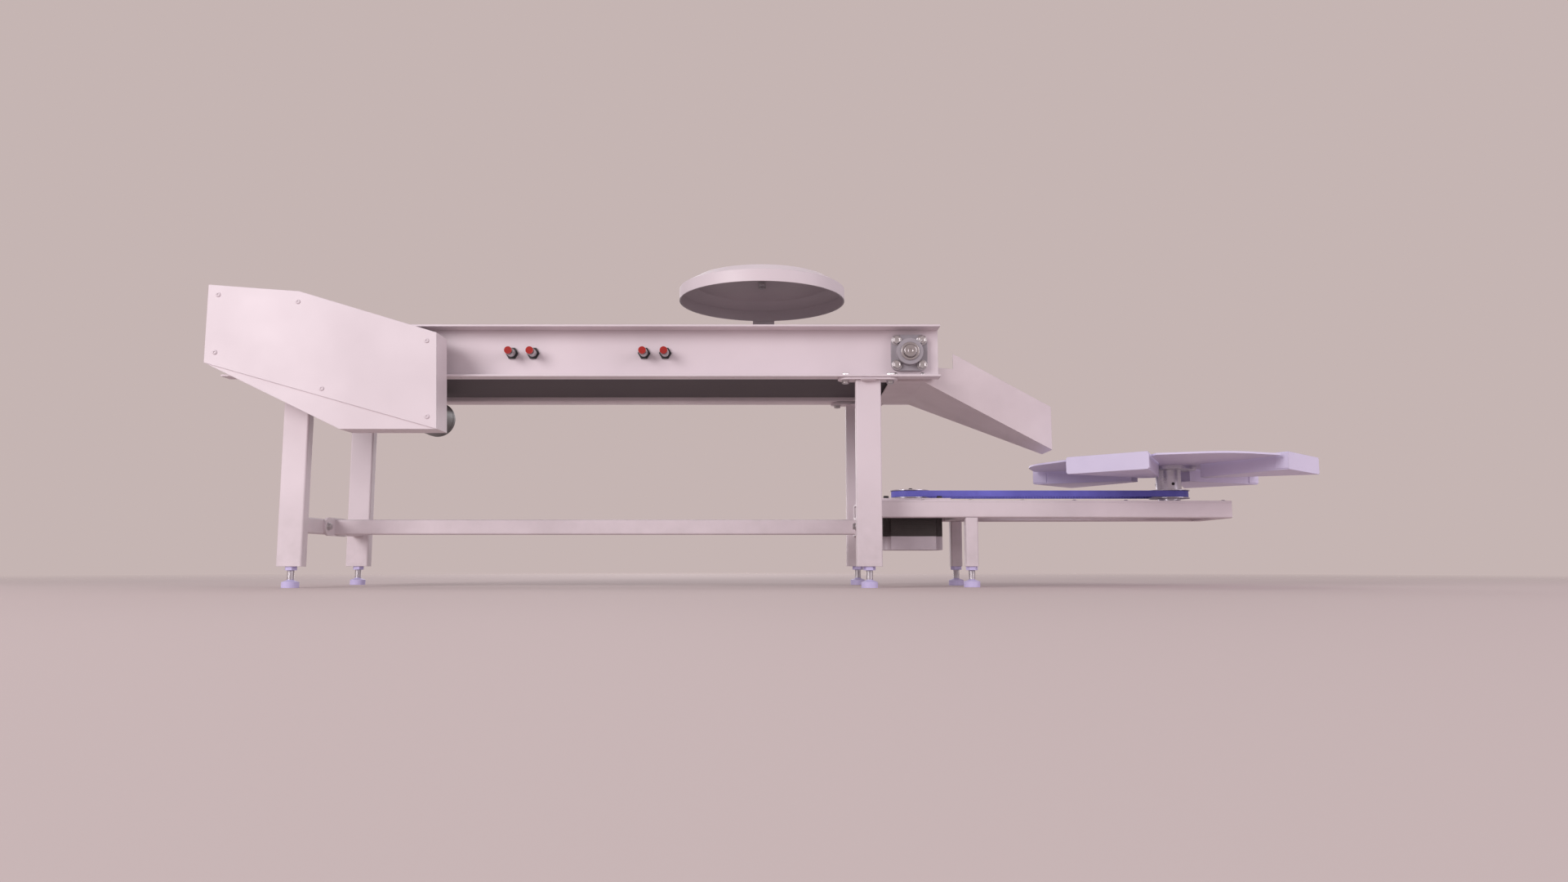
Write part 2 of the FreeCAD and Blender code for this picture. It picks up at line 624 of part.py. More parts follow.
def bearing(name, roller_x, rear):
    """A square flange with a round housing, on the outer face of a rail's web."""
    base = f"-({rail_skin} + BearingBase)" if rear else rail_skin
    boss = f"-({rail_skin} + BearingBase + BearingBoss)" if rear else f"{rail_skin} + BearingBase"
    body = doc.addObject("PartDesign::Body", name)
    flange = sketch_on(body, name + "Flange", "XZ_Plane", base)
    half = "BearingSide / 2"
    rounded(flange, f"{roller_x} - {half}", f"{roller_x} + {half}", f"{roller_z} - {half}",
            f"{roller_z} + {half}", "BearingCorner")
    circle(flange, (roller_x, roller_z), "RollerShaft + ShaftFit")
    pad(body, flange, "BearingBase")
    housing = sketch_on(body, name + "Housing", "XZ_Plane", boss)
    circle(housing, (roller_x, roller_z), "BearingRadius")
    circle(housing, (roller_x, roller_z), "RollerShaft + ShaftFit")
    pad(body, housing, "BearingBoss")
    return body


def make_bearings():
    bearings = []
    for end, roller_x in (("Drive", drive_roller), ("Head", head_roller)):
        for face, rear in (("Front", False), ("Rear", True)):
            bearings.append(bearing(end + face + "Bearing", roller_x, rear))
    node(group("RollerBearings", bearings), "roller_bearings")


def make_guard():
    """The drive guard on the front rail: a back plate, a folded pan and a front cover."""
    low, knee, foot, high, shoulder, corner = [
        ("RailLeft", "RailBottom + GuardLowLeft"),
        ("RailLeft + GuardKnee", "RailBottom - GuardDrop"),
        ("RailLeft + GuardLong", "RailBottom - GuardDrop"),
        ("RailLeft + GuardLong - GuardLean", "RailBottom + GuardHighRight"),
        ("RailLeft + GuardShoulder", "RailBottom + GuardShoulderUp"),
        ("RailLeft", "RailBottom + GuardHighLeft")]
    outline = [low, knee, foot, high, shoulder, corner]
    node(extruded("GuardPlate", "XZ_Plane", outline, rail_edge, "RailSheet"),
         "guard_back_plate")
    pan_start = f"({rail_edge} + RailSheet)"
    pan_depth = "(GuardDepth - RailSheet - GuardCover)"
    pan = extruded("GuardPan", "XZ_Plane", outline, pan_start, pan_depth)
    section = doc.addObject("Sketcher::SketchObject", "GuardSection")
    section.Placement.Rotation = FreeCAD.Rotation(FreeCAD.Vector(1, 0, 0), 90)
    place(section, y=f"-{pan_start}")
    polygon(section, outline)
    inset = doc.addObject("Part::Offset2D", "GuardInset")
    inset.Source = section
    bind(inset, Value="-GuardWall")
    hollow = doc.addObject("Part::Extrusion", "GuardHollow")
    hollow.Base = inset
    hollow.DirMode = "Normal"
    hollow.Solid = True
    bind(hollow, LengthFwd=f"{pan_depth} - GuardWall")
    node(cut("DriveGuard", pan, hollow), "drive_guard")
    node(extruded("GuardCoverPlate", "XZ_Plane", [low, foot, high, shoulder, corner],
                  f"{pan_start} + {pan_depth}", "GuardCover"), "guard_cover")


def make_gearmotor():
    """The gearmotor hangs from the guard's back plate and lies across the machine."""
    x, z = "(RailLeft + MotorInset)", "(RailBottom - MotorDown)"
    start = f"(-{rail_edge})"
    for name, label, length, trim in (
            ("NoseRingPiece", "gearmotor_nose", "NoseRing", "+ RingStep"),
            ("GearboxPiece", "gearbox", "GearLength", ""),
            ("MiddleRingPiece", "gearmotor_ring", "MiddleRing", "- RingStep")):
        node(cylinder(name, f"MotorRadius {trim}", length, (x, start, z), "Y"), label)
        start = f"({start} + {length})"
    node(turned("MotorPiece", [
        (0, 0), ("MotorRadius", 0), ("MotorRadius", "MotorLength - MotorEdge"),
        ("MotorRadius - MotorEdge", "MotorLength"), (0, "MotorLength"),
    ], (x, start, z), "Y"), "drive_motor")


def sensor_places():
    first = "RailLeft + SensorStart"
    return [f"{first} + {pair} * SensorPairs + {place_in_pair} * SensorPitch"
            for pair in range(2) for place_in_pair in range(2)]


def make_sensors():
    """Four barrel sensors through the front rail's web, each with a nut and a red end."""
    barrels, lenses = [], []
    for number, x in enumerate(sensor_places(), start=1):
        barrel = cylinder(
            f"Barrel{number}", "SensorRadius", "SensorReach + RailSheet",
            (x, f"-({rail_skin} + SensorReach)", roller_z), "Y")
        nut = hexagon(
            f"BarrelNut{number}", "SensorNut", "SensorNutThick",
            (x, f"-({rail_skin} + SensorNutThick)", roller_z), "Y")
        barrels.append(fuse(f"Sensor{number}", [barrel, nut]))
        lenses.append(cylinder(
            f"Lens{number}", "SensorRadius", "LensReach",
            (x, f"-({rail_skin} + SensorReach + LensReach)", roller_z), "Y"))
    node(group("Sensors", barrels), "sensors")
    node(group("SensorEnds", lenses), "sensor_ends")


def make_hood():
    """The round hood over the belt, hung from a flat-bar bracket on the rear rail."""
    x = f"({rail_right} - HoodInset)"
    bottom = f"({rail_top} + HoodClearance)"
    top = f"({bottom} + HoodHeight)"
    base = f"({rail_top} + PadThick)"
    inner, outer = "(HoodRadius + HoodClear)", "(HoodRadius + HoodClear + BracketThick)"
    foot = fixing_pad("HoodPad", "XY_Plane", (x, "RailInner + RailFlange / 2"), rail_top)
    bar = extruded("HoodBar", "YZ_Plane", [
        ("-BracketOver", top), (inner, top), (inner, base), (outer, base),
        (outer, f"{top} + BracketThick"), ("-BracketOver", f"{top} + BracketThick"),
    ], f"{x} - BracketWide / 2", "BracketWide")
    corner_y, corner_z = value(outer), value(f"{top} + BracketThick")
    soften(bar, "HoodBarBend", "BracketBend", lambda first, last:
           abs(first.x - last.x) > 1 and abs(first.y - corner_y) < 0.1
           and abs(first.z - corner_z) < 0.1)
    node(fuse("HoodBracket", [foot, bar]), "hood_bracket")
    slope_inner = "HoodWall / 2"
    node(turned("RoundHood", [
        ("HoodRadius", 0), ("HoodRadius", "HoodRim"), ("HoodRadius - HoodSlope", "HoodHeight"),
        (0, "HoodHeight"), (0, "HoodHeight - HoodWall"),
        (f"HoodRadius - HoodSlope - {slope_inner}", "HoodHeight - HoodWall"),
        ("HoodRadius - HoodWall", f"HoodRim - {slope_inner}"), ("HoodRadius - HoodWall", 0),
    ], (x, 0, bottom)), "round_hood")


def make_chute():
    """A folded sheet: flat lead-in, a floor that falls and narrows, and two side walls."""
    start, knee = f"({rail_right} - ChuteStart)", f"({rail_right} - ChuteKnee)"
    end, step = f"({knee} + ChuteRun)", f"({rail_right} + ChuteStep)"
    top = "(RailBottom - ChuteUnder)"
    low = f"({top} - ChuteDrop)"
    step_top = f"({top} - ChuteDrop * (ChuteStep + ChuteKnee) / ChuteRun)"
    half, mouth, thick = "RailInner", "ChuteMouth", "ChuteSheet"
    strip = extruded("ChuteStrip", "XZ_Plane", [
        (start, f"{top} - {thick}"), (knee, f"{top} - {thick}"), (end, f"{low} - {thick}"),
        (end, low), (knee, top), (start, top)], f"-{half}", f"2 * {half}")
    plan = [(start, f"-{half}"), (knee, f"-{half}"), (end, f"-{mouth}"), (end, mouth),
            (knee, half), (start, half)]
    inner = [(start, f"-({half} - {thick})"), (knee, f"-({half} - {thick})"),
             (end, f"-({mouth} - {thick})"), (end, f"{mouth} - {thick}"),
             (knee, f"{half} - {thick}"), (start, f"{half} - {thick}")]
    tall = f"{top} + ChuteHighWall - ({low} - {thick})"
    base = f"{low} - {thick}"
    floor = common("ChuteFloor", [strip, extruded("ChutePlan", "XY_Plane", plan, base, tall)])
    ring = cut("ChuteRing", extruded("ChuteOutside", "XY_Plane", plan, base, tall),
               extruded("ChuteInside", "XY_Plane", inner, base, tall))
    side = extruded("ChuteSide", "XZ_Plane", [
        (start, f"{top} - {thick}"), (knee, f"{top} - {thick}"), (end, f"{low} - {thick}"),
        (end, f"{low} + ChuteHighWall"), (step, f"{step_top} + ChuteHighWall"),
        (step, f"{top} + ChuteLowWall"), (start, f"{top} + ChuteLowWall"),
    ], f"-{half}", f"2 * {half}")
    node(fuse("Chute", [floor, common("ChuteWalls", [ring, side])]), "chute")


def half_at(x):
    """Half the table's width beyond its knee."""
    taper = f"(TableHalf - TableEndHalf) / ({table_end} - {table_knee})"
    return f"(TableHalf - {taper} * ({x} - {table_knee}))"


def make_table():
    """Two bent side rails, a cross bar, an end bar, two legs with feet, and the deck."""
    inner, end_inner = "(TableHalf - BarWide)", "(TableEndHalf - BarWide)"
    wall = "TubeWall"
    for face, side in (("front", "-"), ("rear", "")):
        name = "Table" + face.capitalize() + "Rail"
        body = extruded(name, "XY_Plane", [
            (table_left, f"{side}TableHalf"), (table_knee, f"{side}TableHalf"),
            (table_end, f"{side}TableEndHalf"), (table_end, f"{side}{end_inner}"),
            (table_knee, f"{side}{inner}"), (table_left, f"{side}{inner}"),
        ], table_bottom, "BarHigh")
        bottom_z = value(table_bottom)
        soften(body, name + "Edges", "TubeCorner", lambda first, last:
               abs(first.z - bottom_z) < 0.1 and abs(last.z - bottom_z) < 0.1
               and abs(first.x - last.x) > 1)
        hollow = sketch_on(body, name + "Hollow", "XY_Plane", deck_bottom)
        polygon(hollow, [
            (f"{table_left} + {wall}", f"{side}(TableHalf - {wall})"),
            (table_knee, f"{side}(TableHalf - {wall})"),
            (f"{table_end} - {wall}", f"{side}(TableEndHalf - {wall})"),
            (f"{table_end} - {wall}", f"{side}({end_inner} + 2 * {wall})"),
            (table_knee, f"{side}({inner} + {wall})"),
            (f"{table_left} + {wall}", f"{side}({inner} + {wall})")])
        pocket(body, hollow, "BarHigh - TubeCorner", ahead=False)
        node(body, f"table_rail_{face}")
    bar_z = f"({table_bottom} + BarHigh / 2)"
    cross_x = f"({table_knee} - BarWide / 2)"
    node(tube("TableCross", "XZ_Plane", (cross_x, bar_z), ("BarWide", "BarHigh"),
              f"-{inner}", f"2 * {inner}"), "table_cross_bar")
    bar_start = f"({table_end} - BarWide)"
    bar_half = f"({half_at(bar_start)} - BarWide)"
    node(extruded("TableEndBar", "XY_Plane", [
        (bar_start, f"-{bar_half}"), (table_end, f"-{end_inner}"), (table_end, end_inner),
        (bar_start, bar_half)], table_bottom, "BarHigh"), "table_end_bar")
    legs, feet = [], []
    size = ("BarWide", "BarWide")
    for face, side in (("Front", "-"), ("Rear", "")):
        leg_y = f"{side}(TableHalf - BarWide / 2)"
        name = "Table" + face + "Leg"
        legs.append(tube(name, "XY_Plane", (table_knee, leg_y), size, "FootHeight",
                         f"{table_bottom} - FootHeight"))
        feet.append(levelling_foot(name + "Foot", table_knee, leg_y, size))
    node(group("TableLegs", legs), "table_legs")
    node(group("TableFeet", feet), "table_feet")
    make_deck()


def make_deck():
    deck = extruded("TableDeck", "XY_Plane", [
        (table_left, "-TableHalf"), (table_knee, "-TableHalf"), (table_end, "-TableEndHalf"),
        (table_end, "TableEndHalf"), (table_knee, "TableHalf"), (table_left, "TableHalf"),
    ], deck_bottom, "DeckThick")
    windows = sketch_on(deck, "DeckWindows", "XY_Plane", deck_bottom)
    start = f"({table_knee} + WindowStart)"
    end = f"({carousel_x} - WindowShort)"
    polygon(windows, [(start, "-WindowHalf"), (end, "-WindowEndHalf"), (end, "WindowEndHalf"),
                      (start, "WindowHalf")])
    half = "(StepperSide / 2 + StepperRoom)"
    polygon(windows, cut_square(stepper_x, half, f"({half} - StepperCorner)"))
    circle(windows, (carousel_x, 0), "ShaftRadius + BoreRoom")
    pocket(deck, windows, "DeckThick")
    node(deck, "table_deck")


def cut_square(x, half, short):
    """A square about (x, 0) with its four corners cut off."""
    return [(f"{x} - {half}", f"-{short}"), (f"{x} - {short}", f"-{half}"),
            (f"{x} + {short}", f"-{half}"), (f"{x} + {half}", f"-{short}"),
            (f"{x} + {half}", short), (f"{x} + {short}", half),
            (f"{x} - {short}", half), (f"{x} - {half}", short)]


def stepper_block(name, start, height):
    """A square block whose corners are hollowed for the motor's screws."""
    half = "(StepperSide / 2)"
    body = extruded(name, "XY_Plane", [
        (f"{stepper_x} - {half}", f"-{half}"), (f"{stepper_x} + {half}", f"-{half}"),
        (f"{stepper_x} + {half}", half), (f"{stepper_x} - {half}", half)], start, height)
    corners = sketch_on(body, name + "Corners", "XY_Plane", start)
    for x_side in ("-", "+"):
        for y_side in ("-", "+"):
            circle(corners, (f"{stepper_x} {x_side} {half}", f"{y_side}{half}"), "StepperCorner")
    pocket(body, corners, height)
    return body


def make_stepper():
    """The stepper motor through the deck, hung from its plate, with a grey end cap below."""
    low = f"({table_bottom} - StepperDrop)"
    body_low = f"({low} + StepperCap)"
    cap = stepper_block("StepperCapBlock", low, "StepperCap")
    gland = cylinder(
        "CableGland", "GlandRadius", "GlandReach",
        (f"{stepper_x} - StepperSide / 2 - GlandReach", "GlandAside", f"{low} + StepperCap / 2"),
        "X")
    node(fuse("StepperCapPiece", [cap, gland]), "stepper_cap")
    node(stepper_block("StepperBody", body_low, f"{deck_top} - {body_low}"), "stepper_motor")
    half = "(StepperSide / 2 + MotorPlateRim)"
    plate = extruded("StepperPlate", "XY_Plane",
                     cut_square(stepper_x, half, f"({half} - BlockEdge)"), deck_top, "MotorPlate")
    bore = sketch_on(plate, "PlateBore", "XY_Plane", deck_top)
    circle(bore, (stepper_x, 0), "ShaftRadius + BoreRoom")
    pocket(plate, bore, "MotorPlate")
    node(plate, "motor_plate")


def make_block():
    """The bearing block under the deck, at the carousel's axis."""
    low = f"({deck_bottom} - BlockHeight)"
    half = "BlockSide / 2"
    block = extruded("BearingBlock", "XY_Plane", [
        (f"{carousel_x} - {half}", f"-{half}"), (f"{carousel_x} + {half}", f"-{half}"),
        (f"{carousel_x} + {half}", half), (f"{carousel_x} - {half}", half)], low, "BlockHeight")
    low_z = value(low)
    soften(block, "BlockEdges", "BlockEdge", lambda first, last:
           abs(first.z - low_z) < 0.1 and abs(last.z - low_z) < 0.1, "Chamfer")
    bore = sketch_on(block, "BlockBore", "XY_Plane", low)
    circle(bore, (carousel_x, 0), "ShaftRadius + ShaftFit")
    pocket(block, bore, "BlockHeight")
    node(block, "bearing_block")


def make_drive_belt():
    belt = doc.addObject("PartDesign::Body", "DriveBelt")
    loop = sketch_on(belt, "TimingLoop", "XY_Plane", f"{deck_top} + TimingUp")
    ends = ((stepper_x, 0), (carousel_x, 0))
    slot(loop, *ends, "PulleyRadius + Gap + TimingThick")
    slot(loop, *ends, "PulleyRadius + Gap")
    pad(belt, loop, "TimingWide")
    node(belt, "drive_belt")


belt_low = f"({deck_top} + TimingUp - PulleyPlay)"
belt_high = f"({deck_top} + TimingUp + TimingWide + PulleyPlay)"
pulley_low = f"({belt_low} - PulleySide)"
pulley_high = f"({belt_high} + PulleySide)"


def toothed_pulley(name, inside, outside, at):
    """A flanged pulley; inside and outside close its profile below and above the rim."""
    flange = "PulleyRadius + PulleyRim"
    rim = [(flange, pulley_low), (flange, belt_low), ("PulleyRadius", belt_low),
           ("PulleyRadius", belt_high), (flange, belt_high), (flange, pulley_high)]
    body = turned(name, inside + rim + outside, at)
    groove = sketch_on(body, name + "Groove", "XY_Plane", belt_low)
    root = "PulleyRadius - ToothDeep"
    polygon(groove, [
        (root, "-ToothHalf / 2"), ("PulleyRadius + Gap", "-ToothHalf"),
        ("PulleyRadius + Gap", "ToothHalf"), (root, "ToothHalf / 2")])
    one = pocket(body, groove, f"{belt_high} - {belt_low}")
    teeth = body.newObject("PartDesign::PolarPattern", name + "Teeth")
    teeth.Originals = [one]
    teeth.Axis = (groove, ["N_Axis"])
    teeth.Angle = 360
    bind(teeth, Occurrences="PulleyTeeth")
    body.Tip = teeth
    return body


def make_motor_pulley():
    stub, boss = "MotorShaft", "(MotorShaft + PulleyBoss)"
    plate_top = f"({deck_top} + MotorPlate)"
    node(toothed_pulley("MotorPulley", [
        (0, f"{deck_top} + Gap"), (stub, f"{deck_top} + Gap"), (stub, f"{plate_top} + Gap"),
        (boss, f"{plate_top} + Gap"), (boss, pulley_low)], [(0, pulley_high)],
        (stepper_x, 0, 0)), "motor_pulley")


def make_spindle():
    """Shaft, pulley, hub and cap of the carousel, all turned by its angle at rest."""
    sleeve, boss = "(ShaftRadius + HubWall)", "(ShaftRadius + PulleyBoss)"
    bore = "(ShaftRadius + ShaftFit)"
    shaft_low = f"({deck_bottom} - BlockHeight + ShaftRecess)"
    cap_low = f"({petal_top} + TraySheet)"
    at = (carousel_x, 0, 0)
    pieces = [
        (turned("CarouselShaft", [(0, shaft_low), ("ShaftRadius", shaft_low),
                                  ("ShaftRadius", petal_top), (0, petal_top)], at),
         "carousel_shaft"),
        (toothed_pulley("CarouselPulley", [
            (bore, f"{deck_top} + Gap"), (boss, f"{deck_top} + Gap"), (boss, pulley_low)],
            [(bore, pulley_high)], at), "carousel_pulley"),
        (turned("CarouselHub", [
            (bore, pulley_high), (sleeve, pulley_high), (sleeve, f"{petal_low} - HubThick"),
            ("HubRadius", f"{petal_low} - HubThick"), ("HubRadius", petal_low),
            (bore, petal_low)], at), "carousel_hub"),
        (turned("HubCap", [
            (0, cap_low), ("HubRadius", cap_low), ("HubRadius", f"{cap_low} + CapThick - CapEdge"),
            ("HubRadius - CapEdge", f"{cap_low} + CapThick"), (0, f"{cap_low} + CapThick")], at),
         "hub_cap")]
    for body, label in pieces:
        turn_about_z(body, "CarouselTurn")
        node(body, label)


def beside_tray(along, room):
    """A point beside the tray at 45 degrees, in the axes of the petal next to it."""
    aside = f"(TrayStartHalf + {tray_slope} * ({along} - TrayStart - Gap) + {room})"
    return f"({along} + {aside}) / sqrt(2)", f"({along} - {aside}) / sqrt(2)"


def make_petals():
    """A round middle with four petals that run beside the trays, each with a round peak."""
    plate = doc.addObject("PartDesign::Body", "PetalPlate")
    middle = sketch_on(plate, "PlateMiddle", "XY_Plane", petal_low)
    circle(middle, (0, 0), "TrayStart")
    pad(plate, middle, "PetalSheet")
    outline = sketch_on(plate, "PetalOutline", "XY_Plane", petal_low)
    reach = "(TrayReach + PetalPast)"
    room = f"(PetalRoom * sqrt(1 + {tray_slope} ^ 2))"
    angle = f"(45deg - atan((TrayHalf + {tray_side}) / TrayReach) - PetalCorner * 1deg)"
    rim = f"({reach} / cos({angle} - 22.5deg))"
    peak, touch = f"({reach} / cos(22.5deg))", "(PetalRound * tan(22.5deg))"
    upper = [beside_tray("TrayStart * 0.8", room),
             beside_tray("TrayReach - FlapLong - PetalRoom", room),
             (f"{rim} * cos({angle})", f"{rim} * sin({angle})"),
             (f"{peak} - {touch} * sin(22.5deg)", f"{touch} * cos(22.5deg)")]
    corners = [(x, f"-({y})") for x, y in upper] + upper[::-1]
    spots = [spot(point) for point in corners]
    crest = FreeCAD.Vector(value(f"{peak} - PetalRound * (1 / cos(22.5deg) - 1)"), 0, 0)
    for index in range(8):
        start, end = spots[index], spots[(index + 1) % 8]
        curve = Part.Arc(start, crest, end) if index == 3 else Part.LineSegment(start, end)
        outline.addGeometry(curve, False)
    for index in range(8):
        before = (index - 1) % 8
        outline.addConstraint(Sketcher.Constraint("Coincident", before, 2, index, 1))
        fix(outline, index, 1, corners[index])
    hold(outline, "Radius", 3, size="PetalRound")
    petal = pad(plate, outline, "PetalSheet")
    four = plate.newObject("PartDesign::PolarPattern", "FourPetals")
    four.Originals = [petal]
    four.Axis = (outline, ["N_Axis"])
    four.Angle = 360
    four.Occurrences = 4
    plate.Tip = four
    bore = sketch_on(plate, "PlateBore", "XY_Plane", petal_low)
    circle(bore, (0, 0), "ShaftRadius + ShaftFit")
    pocket(plate, bore, "PetalSheet")
    place(plate, carousel_x)
    turn_about_z(plate, "CarouselTurn")
    node(plate, "petal_plate")


def tray(name, turn):
    """A folded sheet box that narrows towards the hub, with a tab on top of the petal plate."""
    start, reach = "(TrayStart + Gap)", "TrayReach"

    def half(x, extra="0"):
        return f"(TrayStartHalf + {tray_slope} * ({x} - {start}) + {extra})"

    def band(x_low, x_high, extra):
        return [(x_low, f"-{half(x_low, extra)}"), (x_high, f"-{half(x_high, extra)}"),
                (x_high, half(x_high, extra)), (x_low, half(x_low, extra))]

    body = extruded(name, "XY_Plane", band(start, reach, "0"), tray_low, "TrayHigh")
    hollow = sketch_on(body, name + "Hollow", "XY_Plane", f"{tray_low} + TraySheet")
    polygon(hollow, band(f"({start} + TraySheet)", f"({reach} - TraySheet)", f"-{tray_side}"))
    pocket(body, hollow, "TrayHigh - TraySheet")
    tab = sketch_on(body, name + "Tab", "XY_Plane", petal_top)
    tab_half = "(TrayStartHalf - TabInset)"
    tab_start, tab_end = f"{start} - TabLong", f"{start} + TraySheet"
    polygon(tab, [(tab_start, f"-{tab_half}"), (tab_end, f"-{tab_half}"), (tab_end, tab_half),
                  (tab_start, tab_half)])
    pad(body, tab, "TraySheet")
    flap_start = f"({reach} - FlapLong)"
    for sign in ("-", ""):
        flap = sketch_on(body, name + ("Left" if sign else "Right") + "Flap", "XY_Plane",
                         f"{tray_low} + FlapInset")
        polygon(flap, [
            (flap_start, f"{sign}{half(flap_start, '0')}"), (reach, f"{sign}{half(reach, '0')}"),
            (reach, f"{sign}{half(reach, tray_side)}"),
            (flap_start, f"{sign}{half(flap_start, tray_side)}")])
        pad(body, flap, "TrayHigh - 2 * FlapInset")
    place(body, carousel_x)
    turn_about_z(body, turn)
    return body


def make_trays():
    for number in range(4):
        node(tray(f"Tray{number + 1}", f"CarouselTurn + 45 + 90 * {number}"), f"tray_{number + 1}")


def write_parts():
    doc.recompute()
    for item in doc.Objects:
        if "Invalid" in item.State or "Error" in item.State:
            raise RuntimeError(f"{item.Label} failed: {item.State}")
    os.makedirs("parts", exist_ok=True)
    for item in nodes:
        shape = item.Shape
        if shape.isNull() or not shape.isValid():
            raise RuntimeError(f"{item.Label} has no valid shape")
    for item in nodes:
        item.Shape.exportStep(f"parts/{item.Label}.step")
        print(item.Label, len(item.Shape.Solids), round(item.Shape.Volume / 1000, 1), "cm3")


for make in (
        make_rails, make_bed, make_legs, make_bars, make_belt, make_rollers, make_bearings,
        make_guard, make_gearmotor, make_sensors, make_hood, make_chute, make_table,
        make_stepper, make_block, make_drive_belt, make_motor_pulley, make_spindle,
        make_petals, make_trays):
    make()
write_parts()
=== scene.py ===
import math
import bpy
from mathutils import Matrix, Vector


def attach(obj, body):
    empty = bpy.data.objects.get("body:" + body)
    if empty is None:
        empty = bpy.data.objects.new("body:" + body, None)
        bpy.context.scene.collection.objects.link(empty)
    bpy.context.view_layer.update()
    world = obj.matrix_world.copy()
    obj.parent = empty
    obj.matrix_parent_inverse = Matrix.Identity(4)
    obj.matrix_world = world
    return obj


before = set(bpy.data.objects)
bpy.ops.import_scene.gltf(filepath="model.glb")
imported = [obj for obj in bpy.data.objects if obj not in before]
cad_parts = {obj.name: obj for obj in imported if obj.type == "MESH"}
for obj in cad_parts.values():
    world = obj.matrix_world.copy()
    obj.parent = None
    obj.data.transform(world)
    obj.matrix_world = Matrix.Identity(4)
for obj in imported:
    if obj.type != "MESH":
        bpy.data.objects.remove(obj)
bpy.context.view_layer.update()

print("frame loaded:", len(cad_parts), "nodes")


def addNode(mat, kind, inputs=None, **settings):
    node = mat.node_tree.nodes.new("ShaderNode" + kind)
    for name, setting in settings.items():
        setattr(node, name, setting)
    for name, number in (inputs or {}).items():
        node.inputs[name].default_value = number
    return node


def wire(mat, source, output, target, entry):
    mat.node_tree.links.new(source.outputs[output], target.inputs[entry])


def blankFinish(name, metal=0.0, specular=0.5):
    mat = bpy.data.materials.new(name)
    mat.use_nodes = True
    shader = mat.node_tree.nodes["Principled BSDF"]
    shader.inputs["Metallic"].default_value = metal
    shader.inputs["Specular IOR Level"].default_value = specular
    place = addNode(mat, "TexCoord")
    return mat, shader, place


def spread(mat, place, scale):
    # stretches the pattern along each axis
    mapping = addNode(mat, "Mapping", vector_type="POINT")
    mapping.inputs["Scale"].default_value = scale
    wire(mat, place, "Object", mapping, "Vector")
    return mapping


def noise(mat, source, output, scale, detail=3.0, rough=0.55):
    node = addNode(mat, "TexNoise", {"Scale": scale, "Detail": detail, "Roughness": rough})
    wire(mat, source, output, node, "Vector")
    return node


def remap(mat, source, output, low, high, fromLow=0.3, fromHigh=0.7):
    node = addNode(mat, "MapRange", {"From Min": fromLow, "From Max": fromHigh,
                                     "To Min": low, "To Max": high})
    wire(mat, source, output, node, "Value")
    return node


def blendColour(mat, factor, first, second):
    # first and second are colours, or (node, output) pairs
    node = addNode(mat, "Mix", data_type="RGBA")
    wire(mat, factor[0], factor[1], node, 0)
    for entry, colour in ((6, first), (7, second)):
        if len(colour) == 2:
            wire(mat, colour[0], colour[1], node, entry)
        else:
            node.inputs[entry].default_value = (*colour, 1)
    return node


def edgeMask(mat, radius):
    # 1 along the edges and 0 on flat faces, with the rounded normal for the shading
    bevel = addNode(mat, "Bevel", {"Radius": radius}, samples=4)
    face = addNode(mat, "NewGeometry")
    turn = addNode(mat, "VectorMath", operation="DOT_PRODUCT")
    wire(mat, bevel, "Normal", turn, 0)
    wire(mat, face, "Normal", turn, 1)
    return bevel, remap(mat, turn, "Value", 1, 0, 0.72, 0.985)


def bump(mat, shader, layers, normal=None):
    # layers are (node, output, strength, distance in metres)
    last = normal
    for source, output, strength, distance in layers:
        node = addNode(mat, "Bump", {"Strength": strength, "Distance": distance})
        wire(mat, source, output, node, "Height")
        if last:
            wire(mat, last, "Normal", node, "Normal")
        last = node
    wire(mat, last, "Normal", shader, "Normal")


def powderCoat(name, look):
    mat, shader, place = blankFinish(name)
    cloud = noise(mat, place, "Object", look["cloud"])
    tone = blendColour(mat, (remap(mat, cloud, "Fac", 0, 1), "Result"), look["base"], look["shade"])
    bevel, edge = edgeMask(mat, look["edge"])
    chips = noise(mat, place, "Object", 260, 4)
    worn = addNode(mat, "Math", operation="MULTIPLY")
    wire(mat, edge, "Result", worn, 0)
    wire(mat, remap(mat, chips, "Fac", 0, look["wear"], 0.42, 0.66), "Result", worn, 1)
    height = addNode(mat, "SeparateXYZ")
    wire(mat, place, "Object", height, "Vector")
    dust = addNode(mat, "Math", operation="MULTIPLY")
    wire(mat, remap(mat, height, "Z", look["dust"], 0, 0.0, 0.16), "Result", dust, 0)
    wire(mat, remap(mat, noise(mat, place, "Object", 45, 4), "Fac", 0, 1), "Result", dust, 1)
    dusty = blendColour(mat, (dust, "Value"), (tone, 2), look["dustTone"])
    final = blendColour(mat, (worn, "Value"), (dusty, 2), look["worn"])
    wire(mat, final, 2, shader, "Base Color")
    peel = noise(mat, place, "Object", look["peel"], 2)
    wire(mat, remap(mat, cloud, "Fac", *look["rough"]), "Result", shader, "Roughness")
    bump(mat, shader, [(peel, "Fac", 0.25, 0.00012)], bevel)
    shader.inputs["Coat Weight"].default_value = look["coat"]
    shader.inputs["Coat Roughness"].default_value = 0.28
    return mat


